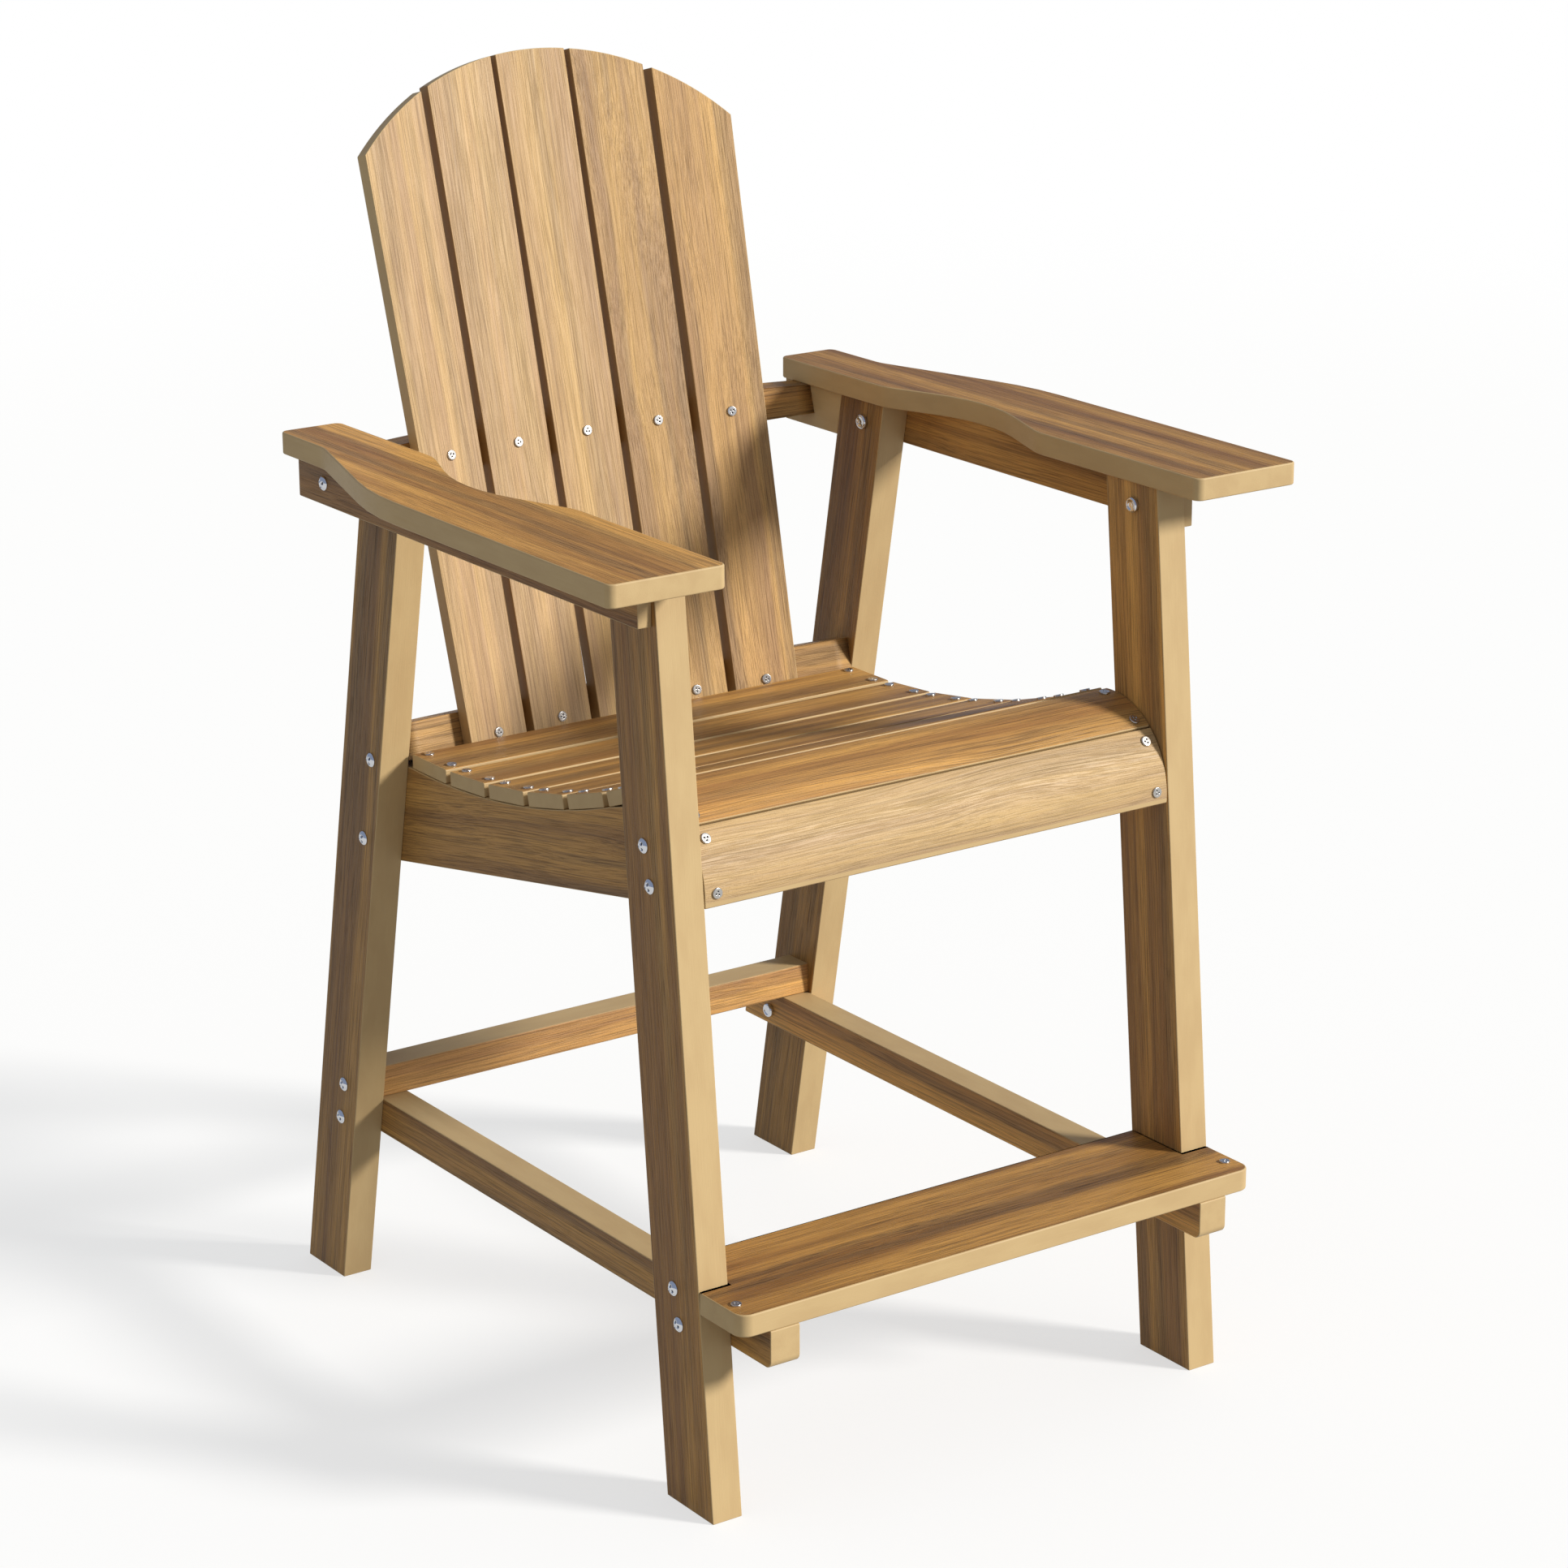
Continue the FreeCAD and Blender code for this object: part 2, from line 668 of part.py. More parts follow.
def back_rail(label, foot, height):
    """A bent cross rail behind the slats, cut off at the legs' inner faces."""
    corners = [
        ("-leg_in", "rail_end_front", {"bow": ("back_rail_r", 1)}),
        ("leg_in", "rail_end_front", {}),
        ("leg_in", "rail_end_rear", {"bow": ("back_rail_r + back_rail_t", -1)}),
        ("-leg_in", "rail_end_rear", {}),
    ]
    return board(label, "XY_Plane", corners, height, BACK_FRAME + " * " + at("0", "0", foot))


def make_back_rails():
    """The lower rail on the seat rails, and the upper one with its top planed level with the blocks."""
    blank = back_rail("back_lower_rail_board", "lower_rail_foot", "back_rail_h")
    bored("back_lower_rail", blank, bores_of(-1, "rear_rail") + bores_of(1, "rear_rail"))
    blank = back_rail("back_upper_rail_board", "upper_rail_foot", "back_rail_h + upper_rail_rise")
    above = doc.addObject("Part::Box", "above_arm_underside")
    above.setExpression("Length", full("2 * leg_in"))
    above.setExpression("Width", full("arm_tail_y"))
    above.setExpression("Height", full("back_rail_h"))
    above.setExpression("Placement", full(at("-leg_in", "back_y", "leg_top")))
    level = doc.addObject("Part::Cut", "back_upper_rail_level")
    level.Base = blank
    level.Tool = above
    node("back_upper_rail", level)


def make_arm(side, word):
    """The contoured armrest, with the rail and the block that carry it."""
    flip = "" if side > 0 else "-"
    points = [
        ("arm_in", "arm_nose_y", "arm_corner"),
        ("arm_out", "arm_nose_y", "arm_corner"),
        ("arm_out", "flare_front_y", "flare_front_r"),
        ("arm_tail_out", "flare_tail_y", "flare_tail_r"),
        ("arm_tail_out", "arm_tail_y", "arm_corner"),
        ("arm_in", "arm_tail_y", "arm_corner"),
        ("arm_in", "scoop_tail_y", "scoop_end_r"),
        ("scoop_x", "scoop_y", "scoop_r"),
        ("arm_in", "scoop_front_y", "scoop_end_r"),
    ]
    corners = [(flip + across, along, {"round": radius}) for across, along, radius in points]
    label = f"armrest_{word}"
    node(label, board(label, "XY_Plane", corners, "arm_t", at("0", "0", "leg_top")))
    nose = front_edge("leg_top - arm_rail_h / 2") + " + arm_rail_set"
    corners = [
        (nose, "arm_rail_low", {}),
        ("arm_rail_tail_y", "arm_rail_low", {}),
        ("arm_rail_tail_y", "leg_top", {}),
        (nose, "leg_top", {}),
    ]
    place = slab_place(side, "leg_out", "arm_rail_t")
    blank = board(f"arm_rail_{word}_board", "YZ_Plane", corners, "arm_rail_t", place)
    bored(f"arm_rail_{word}", blank, bores_of(side, "arm_block", "rear_top", "front_top"))
    corners = [
        (rear_edge("arm_rail_low") + " + rear_leg_run", "arm_rail_low", {}),
        ("arm_rail_tail_y", "arm_rail_low", {}),
        ("arm_rail_tail_y", "leg_top", {}),
        (rear_edge("leg_top") + " + rear_leg_run", "leg_top", {}),
    ]
    blank = board(f"arm_block_{word}_board", "YZ_Plane", corners, "leg_t", slab_place(side, "leg_in", "leg_t"))
    bored(f"arm_block_{word}", blank, bores_of(side, "arm_block"))


def make_bolts(side, word):
    """The bolts of one side and their cap nuts."""
    lengths = {}
    bolts = []
    nuts = []
    nut = prism(f"nut_{word}", 8, "cap_nut_d", "cap_nut_h")
    for name, (depth, height, first, nut_face) in BOLTS.items():
        length = bolt_length(name)
        if length not in lengths:
            lengths[length] = bolt(f"bolt_{word}_{len(lengths) + 1}", length)
        bolts.append((lengths[length], at(f"{side} * ({first})", depth, height, turn("y", 90 * side))))
        if nut_face:
            nuts.append((nut, at(f"{side} * ({nut_face})", depth, height, turn("y", -90 * side))))
    copies(f"bolts_{word}", bolts)
    copies(f"cap_nuts_{word}", nuts)


def make_screws():
    """Screw heads: four on each seat board, two on each back slat and two on the footrest."""
    screw = prism("screw_head", 8, "screw_head_d", "screw_head_h")
    seat = []
    for side in (-1, 1):
        for number in range(1, 7):
            for end in ("-", ""):
                on_slat = at(f"{side} * screw_x", f"{end}screw_spread / 2", "0")
                seat.append((screw, slat_place(number) + " * " + on_slat))
        for start, end in (("front_slat_start", "front_slat_end"), ("front_slat_end + nose_gap", "90")):
            for share in (0.18, 0.86):
                angle = f"({start} + ({end} - {start}) * {share})"
                place = at(f"{side} * screw_x", *round_nose(angle, "nose_r"), turn("x", angle))
                seat.append((screw, place))
    copies("seat_screws", seat)
    back = []
    for number in range(-2, 3):
        for row in ("lower_rail_foot - back_low_screw_drop", "upper_rail_foot"):
            height = f"({row} + back_rail_h / 2 + {back_depth(number)} * tan(back_lean))"
            on_slat = at(back_shift(number, height), "0", height, turn("x", 90))
            back.append((screw, back_slat_place(number) + " * " + on_slat))
    copies("back_screws", back)
    foot = []
    for side in (-1, 1):
        across = f"{side} * (leg_out - footrest_screw_x)"
        foot.append((screw, at(across, "footrest_nose_y + footrest_screw_y", "footrest_top")))
    copies("footrest_screws", foot)


def make_chair():
    """Every sub-part, from the floor up."""
    for side, word in SIDES:
        make_legs(side, word)
        make_stretchers(side, word)
        make_seat_rail(side, word)
        make_arm(side, word)
        make_bolts(side, word)
    make_rear_stretcher()
    make_footrest()
    make_seat_slats()
    make_front_slats()
    make_back_slats()
    make_back_rails()
    make_screws()


def check_and_write():
    """Stop on anything that failed to build, then write one file for each sub-part."""
    doc.recompute()
    for thing in doc.Objects:
        if "Invalid" in thing.State or "Error" in thing.State:
            raise RuntimeError(f"{thing.Label} did not build: {thing.State}")
    for thing in NODES:
        if thing.Shape.isNull() or not thing.Shape.isValid():
            raise RuntimeError(f"{thing.Label} has no valid shape")
    os.makedirs("parts", exist_ok=True)
    for thing in NODES:
        thing.Shape.exportStep(f"parts/{thing.Label}.step")


make_chair()
check_and_write()
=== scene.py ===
"""Looks of a tall slatted outdoor armchair: streaked plastic lumber, plain cut edges and bright steel."""

import bpy
import itertools
import math
import numpy as np
from mathutils import Matrix, Vector


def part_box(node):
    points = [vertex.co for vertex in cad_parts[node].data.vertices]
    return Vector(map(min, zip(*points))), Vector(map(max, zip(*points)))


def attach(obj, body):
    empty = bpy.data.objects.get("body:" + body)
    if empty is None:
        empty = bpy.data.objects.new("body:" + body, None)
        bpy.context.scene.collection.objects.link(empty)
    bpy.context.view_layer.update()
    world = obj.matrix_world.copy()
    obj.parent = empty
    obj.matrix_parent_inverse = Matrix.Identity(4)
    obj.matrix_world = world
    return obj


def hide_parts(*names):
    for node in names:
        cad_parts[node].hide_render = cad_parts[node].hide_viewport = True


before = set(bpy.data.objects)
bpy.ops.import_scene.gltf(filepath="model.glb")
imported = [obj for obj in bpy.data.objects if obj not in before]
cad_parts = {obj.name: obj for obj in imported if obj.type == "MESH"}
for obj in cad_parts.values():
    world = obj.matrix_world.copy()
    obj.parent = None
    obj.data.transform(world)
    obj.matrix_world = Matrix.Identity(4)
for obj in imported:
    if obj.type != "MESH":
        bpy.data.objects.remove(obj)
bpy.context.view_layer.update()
MM = 0.001

# Sizes in millimetres and leans in degrees
LEG_OUT, LEG_IN, LEG_TOP = 288.0, 257.0, 843.5
FRONT_LEG_Y, FRONT_LEG_W, FRONT_LEAN = -346.3, 72.5, 5.2
REAR_LEG_Y, REAR_LEG_W, REAR_LEAN = 309.1, 69.0, 10.8
FOOTREST_LOW, FOOTREST_TOP, FOOTREST_NOSE, FOOTREST_ROUND = 195.0, 216.0, -391.8, 13.0
STRETCHER_IN, STRETCHER_LOW, STRETCHER_ROUND = 226.0, 158.5, 8.0
SEAT_LOW, DIP_Y, DIP_R = 567.8, 166.7, 950.0
SLATS, SLAT_T, SLAT_W, SLAT_GAP, SLAT_END = 6, 14.0, 61.0, 7.6, 256.0
RAIL_IN, RAIL_TAIL_Y, RAIL_TAIL_Z, RAIL_FALL = 229.0, 257.7, 448.7, 10.5
NOSE_R, NOSE_START, APRON_DROP = 83.0, 8.1, 6.0
BACK_Y, BACK_LEAN, BACK_R, BACK_TALL, BACK_FOOT = 217.1, 14.4, 1020.0, 640.0, 9.0
BACK_ARC_R, BACK_SLAT_T, BACK_W, BACK_W_TOP = 298.0, 16.0, 69.0, 78.0
BACK_RAIL_T, BACK_RAIL_H = 24.0, 35.0
ARM_T, ARM_TAIL, ARM_RAIL_T, ARM_RAIL_H, ARM_RAIL_SETBACK = 21.0, 314.2, 14.0, 42.0, 5.0

# Radii of eased arrises and of the outlines' corners
TIGHT, FINE, SOFT, BENT, ROUND, FULL = 0.5, 0.8, 0.9, 1.3, 1.5, 1.6

# Outline of the right armrest from above: x, y and the radius of each corner
ARMREST = [
    (253.5, -330.3, 8),
    (371, -330.3, 8),
    (371, 60.7, 300),
    (318, 236.7, 60),
    (318, 319.7, 8),
    (253.5, 319.7, 8),
    (253.5, 142.7, 60),
    (297.3, 30.7, 180),
    (253.5, -97.3, 60),
]

# Axes of an outline: its origin, its two directions and the direction in which it is run
SIDE_VIEW = (0, 0, 0), (0, 1, 0), (0, 0, 1), (1, 0, 0)
TOP_VIEW = (0, 0, 0), (1, 0, 0), (0, 1, 0), (0, 0, 1)
ACROSS, AFT = (1, 0, 0), (0, 1, 0)


def sind(angle):
    """Sine of an angle in degrees."""
    return math.sin(math.radians(angle))


def cosd(angle):
    """Cosine of an angle in degrees."""
    return math.cos(math.radians(angle))


def tand(angle):
    """Tangent of an angle in degrees."""
    return math.tan(math.radians(angle))


def bearing(step):
    """Angle of a vector (x, y) from the x axis, in degrees."""
    return math.degrees(math.atan2(step[1], step[0]))


def unit(vector):
    """A vector divided by its length."""
    return vector / np.linalg.norm(vector)


# Outlines

# Half of a corner's angle, in radians, past which the corner needs no arc
NEARLY_STRAIGHT = 1.55


def arc(centre, radius, start, end, steps):
    """Points c + r (cos a, sin a) for a from start to end, in degrees."""
    angles = np.radians(np.linspace(start, end, steps + 1))
    return np.c_[centre[0] + radius * np.cos(angles), centre[1] + radius * np.sin(angles)]


def rounded(corners, ease=ROUND):
    """Closed anticlockwise outline through corners (x, y[, radius]), each replaced by its tangent arc.

    With h half of a corner's angle, the arc's centre lies radius / sin h away on the bisector, and the arc
    touches both edges radius / tan h from the corner. It has a point about every 6 degrees.
    """
    corners = [(*corner, ease)[:3] for corner in corners]
    runs = []
    for i, (x, y, radius) in enumerate(corners):
        here = np.array((x, y))
        a = unit(np.array(corners[i - 1][:2]) - here)
        b = unit(np.array(corners[(i + 1) % len(corners)][:2]) - here)
        half = math.acos(np.clip(a @ b, -1, 1)) / 2
        if radius <= 0 or half > NEARLY_STRAIGHT:
            runs.append(here[None])
            continue
        centre = here + unit(a + b) * radius / math.sin(half)
        start = bearing(here + a * radius / math.tan(half) - centre)
        turn = bearing(here + b * radius / math.tan(half) - centre) - start
        sweep = (turn + 180) % 360 - 180
        runs.append(arc(centre, radius, start, start + sweep, max(3, int(abs(sweep) / 6))))
    outline = np.concatenate(runs)
    x, y = outline.T
    area = (x * np.roll(y, -1) - y * np.roll(x, -1)).sum()
    return outline if area > 0 else outline[::-1]


def block(low, high):
    """Corners of a rectangle between two opposite ones."""
    return [(low[0], low[1]), (high[0], low[1]), (high[0], high[1]), (low[0], high[1])]


def edge_normals(outline):
    """Outward unit normal (dy, -dx) / length of the edge after each point."""
    edge = np.roll(outline, -1, axis=0) - outline
    edge /= np.linalg.norm(edge, axis=1)[:, None]
    return np.c_[edge[:, 1], -edge[:, 0]]


def inset(outline, depth):
    """Outline moved inward by a depth along the mitre (n1 + n2) / (1 + n1.n2) of its two edge normals."""
    normal = edge_normals(outline)
    before = np.roll(normal, 1, axis=0)
    mitre = (normal + before) / (1 + (normal * before).sum(1))[:, None]
    return outline - mitre * depth


def facing_runs(outline, toward, limit=0.6):
    """1 for each outline point whose outward normal n lies near a direction d or its opposite, else 0.

    The normal is the sum of both edges' normals, made a unit vector, and near means |n.d| > limit.
    """
    normal = edge_normals(outline)
    normal = normal + np.roll(normal, 1, axis=0)
    normal /= np.linalg.norm(normal, axis=1)[:, None]
    return (np.abs((normal * toward).sum(1)) > limit).astype(float)


def bands(rings, around):
    """Four-cornered faces between rings of points: (k, i), (k, i + 1), (k + 1, i + 1), (k + 1, i)."""
    here = np.arange(around)
    after = np.roll(here, -1)
    band = np.stack([here, after, around + after, around + here], axis=1)
    return (band + around * np.arange(rings - 1)[:, None, None]).reshape(-1, 4)


# Boards

# Lightness, evenness and figure of the boards that differ from the rest. The lightness was matched to each
# board's look, so besides the board's own tone it holds painted light and shade; for one, it is raised on
# the right side stretcher, whose seen face lies in shade. The evenness with its pale colours is partly a
# painted sheen of the sun on the sunlit back slats and the apron.
TONES_WITH_PAINTED_LIGHT = {
    "back_slat_1": (1.08, 0.9, 0.2),
    "back_slat_2": (1.14, 0.9, 0.2),
    "back_slat_3": (1.06, 0.85, 0.2),
    "back_slat_4": (0.98, 0.65, 1.0),
    "back_slat_5": (1.12, 0.55, 0.8),
    "back_lower_rail": (0.92, 0.4, 0.2),
    "seat_apron": (0.98, 0.95, 0.7),
    "seat_front_slat": (1.14, 0.1, 0.5),
    "armrest_left": (1.22, 0.0, 0.2),
    "armrest_right": (0.92, 0.0, 0.2),
    "footrest_board": (0.95, 0.0, 0.5),
    "front_leg_left": (1.0, 0.1, 0.2),
    "front_leg_right": (1.15, 0.2, 0.2),
    "side_stretcher_right": (1.5, 0.1, 0.2),
    "rear_leg_left": (0.78, 0.1, 0.2),
    "rear_leg_right": (0.7, 0.1, 0.2),
    "seat_rail_left": (0.9, 0.1, 0.6),
    "rear_stretcher": (1.34, 0.2, 0.2),
}

# Each board has its own number, its own stretch of grain and, without a tone above, its own lightness
BOARD_NUMBERS = itertools.count(1)
GRAIN_SHIFT = np.array((1.37, 0.61, 0.23))
LIGHTNESS_STEP = 0.618

# Angles round an eased arris at which a board has a ring of points
EASED_TURNS = np.radians([0, 30, 60, 90])


def usual_tone(number):
    """Lightness 0.95 + 0.1 times the fraction of number times a step, with little evenness and figure."""
    return 0.95 + 0.1 * (number * LIGHTNESS_STEP % 1), 0.1, 0.3


def straight_grain(points, along, first, second, normal):
    """Places along, across and through a straight board: products with three directions at right angles."""
    along = unit(np.array(along, float))
    across = np.cross(normal, along)
    run_lengthwise = np.linalg.norm(across) < 0.5
    if run_lengthwise:
        across = first if abs(first @ along) < 0.5 else second
    across = unit(across)
    return np.c_[points @ along, points @ across, points @ np.cross(along, across)]


def bent_grain(flat):
    """Places along, across and through a board on the back's curve: its arc length, radius and height."""
    turn = np.arctan2(flat[:, 0], flat[:, 1] + BACK_R)
    radius = np.hypot(flat[:, 0], flat[:, 1] + BACK_R)
    return np.c_[turn * BACK_R, radius, flat[:, 2]]


def plain_cuts(grained, rings, around):
    """1 on plain cut faces, 0 on grained ones: either the caps, all, none or marked runs of the sides."""
    cut = np.ones((rings, around))
    if isinstance(grained, np.ndarray):
        cut[[rings // 2 - 1, rings // 2]] = 1 - grained
    elif grained == "caps":
        cut[[0, -1]] = 0
    elif grained == "all":
        cut[:] = 0
    return cut


def board(node, outline, low, high, axes, along, grained="caps", ease=SOFT, shade=0):
    """A board that replaces a CAD node: an outline run from low to high with eased arrises.

    Ring k of the eased end has inset e (1 - sin t) and height e (1 - cos t), t from 0 to 90 degrees.
    The point attribute grain holds the place along, across and through the lumber, cut is 1 where its plain
    core shows, and shade is 1 where that core is darkened with painted shade. Without a direction along, the
    grain follows the back's curve.
    """
    origin, first, second, normal = (np.array(axis, float) for axis in axes)
    eased = [(ease * (1 - math.sin(turn)), ease * (1 - math.cos(turn))) for turn in EASED_TURNS]
    around, rings = len(outline), 2 * len(eased)
    low, high = np.broadcast_to(low, around), np.broadcast_to(high, around)
    levels = [np.c_[inset(outline, depth), low + rise] for depth, rise in eased]
    levels += [np.c_[inset(outline, depth), high - rise] for depth, rise in eased[::-1]]
    flat = np.concatenate(levels)
    points = origin + flat[:, :1] * first + flat[:, 1:2] * second + flat[:, 2:] * normal
    cap = np.arange(around)
    faces = [cap[::-1].tolist(), (cap + (rings - 1) * around).tolist()] + bands(rings, around).tolist()
    if np.linalg.det(np.array([first, second, normal])) < 0:
        faces = [face[::-1] for face in faces]
    mesh = bpy.data.meshes.new(node)
    mesh.from_pydata((points * MM).tolist(), [], faces)
    mesh.polygons.foreach_set("use_smooth", np.arange(len(faces)) > 1)
    mesh.materials.append(LUMBER)

    number = next(BOARD_NUMBERS)
    grain = bent_grain(flat) if along is None else straight_grain(points, along, first, second, normal)
    grain = grain * MM + number * GRAIN_SHIFT
    mesh.attributes.new("grain", "FLOAT_VECTOR", "POINT").data.foreach_set("vector", grain.ravel())
    light, evenness_and_sheen, figure = TONES_WITH_PAINTED_LIGHT.get(node, usual_tone(number))
    shares = {"light": light, "evenness_and_sheen": evenness_and_sheen, "figure": figure, "shade": shade}
    shares["cut"] = plain_cuts(grained, rings, around)
    for name, share in shares.items():
        values = np.broadcast_to(share, (rings, around)).ravel().astype(np.float32)
        mesh.attributes.new(name, "FLOAT", "POINT").data.foreach_set("value", values)

    piece = bpy.data.objects.new(node + "_lumber", mesh)
    bpy.context.collection.objects.link(piece)
    weights = piece.modifiers.new("flat faces", "WEIGHTED_NORMAL")
    weights.keep_sharp = False
    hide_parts(node)
    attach(piece, "root")


def both_sides(name, outline, low, high, along, grained="caps", ease=SOFT):
    """A left and a right board with the same outline in fore-and-aft and height."""
    board(name + "_left", outline, -high, -low, SIDE_VIEW, along, grained, ease)
    board(name + "_right", outline, low, high, SIDE_VIEW, along, grained, ease)


# Legs, stretchers and footrest

FRONT_RUN = FRONT_LEG_W / cosd(FRONT_LEAN)
REAR_RUN = REAR_LEG_W / cosd(REAR_LEAN)


def front_leg_y(height):
    """Front edge of the front legs: y = y0 + height tan(lean)."""
    return FRONT_LEG_Y + height * tand(FRONT_LEAN)


def rear_leg_y(height):
    """Front edge of the rear legs: y = y0 - height tan(lean)."""
    return REAR_LEG_Y - height * tand(REAR_LEAN)


def make_legs():
    """Slanting boards cut level at both ends."""
    legs = ("front_leg", front_leg_y, FRONT_RUN, FRONT_LEAN), ("rear_leg", rear_leg_y, REAR_RUN, -REAR_LEAN)
    for name, edge, run, lean in legs:
        foot, top = edge(0), edge(LEG_TOP)
        corners = [(foot, 0), (foot + run, 0), (top + run, LEG_TOP), (top, LEG_TOP)]
        both_sides(name, rounded(corners, FINE), LEG_IN, LEG_OUT, (0, sind(lean), cosd(lean)))


def make_base():
    """Side stretchers up to the rear legs' backs, the cross stretcher, and the footrest round the legs."""
    corners = [
        (FOOTREST_NOSE, FOOTREST_LOW),
        (FOOTREST_NOSE, STRETCHER_LOW, STRETCHER_ROUND),
        (rear_leg_y(STRETCHER_LOW) + REAR_RUN, STRETCHER_LOW),
        (rear_leg_y(FOOTREST_LOW) + REAR_RUN, FOOTREST_LOW),
    ]
    both_sides("side_stretcher", rounded(corners), STRETCHER_IN, LEG_IN, AFT)

    low, high = (np.array(corner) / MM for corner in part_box("rear_stretcher"))
    outline = rounded(block(low[1:], high[1:]))
    upright = facing_runs(outline, (1, 0))
    board("rear_stretcher", outline, -LEG_IN, LEG_IN, SIDE_VIEW, ACROSS, upright, TIGHT)

    shoulder = front_leg_y(FOOTREST_LOW)
    tail = shoulder + FRONT_RUN
    corners = [
        (-LEG_OUT, FOOTREST_NOSE, FOOTREST_ROUND),
        (LEG_OUT, FOOTREST_NOSE, FOOTREST_ROUND),
        (LEG_OUT, shoulder, TIGHT),
        (LEG_IN, shoulder, 0),
        (LEG_IN, tail, TIGHT),
        (-LEG_IN, tail, TIGHT),
        (-LEG_IN, shoulder, 0),
        (-LEG_OUT, shoulder, TIGHT),
    ]
    board("footrest_board", rounded(corners), FOOTREST_LOW, FOOTREST_TOP, TOP_VIEW, ACROSS, ease=FULL)


# Seat: the rails' hollow arc, the nose, and the boards on them

STEP = math.degrees((SLAT_W + SLAT_GAP) / DIP_R)
DIP_Z = SEAT_LOW + DIP_R
RAIL_NOSE_R = NOSE_R - SLAT_T

# Lower face of the last slat from the side: its middle, its direction, its ends, and then the nose's centre
LAST_TURN = (SLATS - 1) * STEP
LAST = np.array((DIP_Y - (DIP_R + SLAT_T) * sind(LAST_TURN), DIP_Z - (DIP_R + SLAT_T) * cosd(LAST_TURN)))
LAST_ALONG = np.array((cosd(LAST_TURN), -sind(LAST_TURN)))
LAST_REAR, LAST_FRONT = LAST + LAST_ALONG * SLAT_W / 2, LAST - LAST_ALONG * SLAT_W / 2
NOSE = LAST_FRONT - RAIL_NOSE_R * np.array((sind(NOSE_START), cosd(NOSE_START)))

# Where the two bent boards start and end, forward from straight up, in degrees
FRONT_SLAT_SPAN, APRON_SPAN = (-5.2, 42.2), (43.4, 90.0)

# Distance from a bent face within which a point belongs to it, and steps of the rails' hollow edge
ON_FACE, HOLLOW_STEPS = 0.12, 24


def nose_arc(radius, start, end):
    """Arc round the seat's nose, with angles forward from straight up and a point about every 2.5."""
    return arc(NOSE, radius, 90 + start, 90 + end, max(4, int(abs(end - start) / 2.5)))


def seat_slat(number):
    """A flat slat whose top touches the hollow arc at c - R (sin a, cos a), a being number times a step."""
    angle = number * STEP
    centre = (0, DIP_Y - DIP_R * sind(angle), DIP_Z - DIP_R * cosd(angle))
    axes = centre, (0, cosd(angle), -sind(angle)), (0, sind(angle), cosd(angle)), (1, 0, 0)
    outline = rounded(block((-SLAT_W / 2, -SLAT_T), (SLAT_W / 2, 0)), FULL)
    grained = facing_runs(outline, (0, 1))
    board(f"seat_slat_{number + 1}", outline, -SLAT_END, SLAT_END, axes, ACROSS, grained)


def bent_board(node, span, drop=0):
    """A board bent round the nose between its own radius and the rails', with a straight drop below it."""
    outer, inner = nose_arc(NOSE_R, *span), nose_arc(RAIL_NOSE_R, *span[::-1])
    if drop:
        outer = np.r_[outer, [(NOSE[0] - NOSE_R, NOSE[1] - drop)]]
        inner = np.r_[[(NOSE[0] - RAIL_NOSE_R, NOSE[1] - drop)], inner]
    corners = np.c_[np.concatenate([outer, inner]), np.zeros(len(outer) + len(inner))]
    corners[[0, len(outer) - 1, len(outer), -1], 2] = BENT
    outline = rounded(corners)
    radius = np.linalg.norm(outline - NOSE, axis=1)
    grained = (np.abs(radius - NOSE_R) < ON_FACE) | (np.abs(radius - RAIL_NOSE_R) < ON_FACE)
    board(node, outline, -SLAT_END, SLAT_END, SIDE_VIEW, ACROSS, grained.astype(float))


def make_seat():
    """Side rails whose top edge follows the slats and the nose, then the slats and the two bent boards.

    The top edge is an arc about the hollow's centre through the slats' lower corners, whose radius is
    sqrt((R + t)^2 + (w / 2)^2), and then the nose's arc.
    """
    rail_nose_y = NOSE[0] - RAIL_NOSE_R
    below = DIP_R + SLAT_T
    hollow = bearing((SLAT_W / 2, -below)), bearing(LAST_REAR - (DIP_Y, DIP_Z))
    top = [
        [(RAIL_TAIL_Y, RAIL_TAIL_Z), (RAIL_TAIL_Y, SEAT_LOW - SLAT_T)],
        arc((DIP_Y, DIP_Z), math.hypot(below, SLAT_W / 2), *hollow, HOLLOW_STEPS),
        nose_arc(RAIL_NOSE_R, NOSE_START, 90),
        [(rail_nose_y, RAIL_TAIL_Z + (RAIL_TAIL_Y - rail_nose_y) * tand(RAIL_FALL))],
    ]
    along = (0, cosd(RAIL_FALL), -sind(RAIL_FALL))
    both_sides("seat_rail", np.concatenate(top), RAIL_IN, LEG_IN, along, ease=FINE)
    for number in range(SLATS):
        seat_slat(number)
    bent_board("seat_front_slat", FRONT_SLAT_SPAN)
    bent_board("seat_apron", APRON_SPAN, APRON_DROP)


# Back: slats fanned on a curve, and the two bent rails behind them

SPINE = np.array((0, sind(BACK_LEAN), cosd(BACK_LEAN)))
BEHIND = np.array((0, cosd(BACK_LEAN), -sind(BACK_LEAN)))
BACK_ORIGIN = np.array((0, BACK_Y, SEAT_LOW))
BACK_FLARE = BACK_W_TOP - BACK_W

# Distance of each slat from the middle one, along the curve at the seat's height and across the top
SPOTS = {0: (0, 0), 1: (78.6, 83.2), 2: (156.4, 169.4)}
TOP_POINTS, BACK_RAIL_STEPS = 16, 32

# A point within this distance of a slat's side, and below this height, belongs to the side
NEAR_SIDE = 0.9
BELOW_TOP = BACK_TALL * 0.995


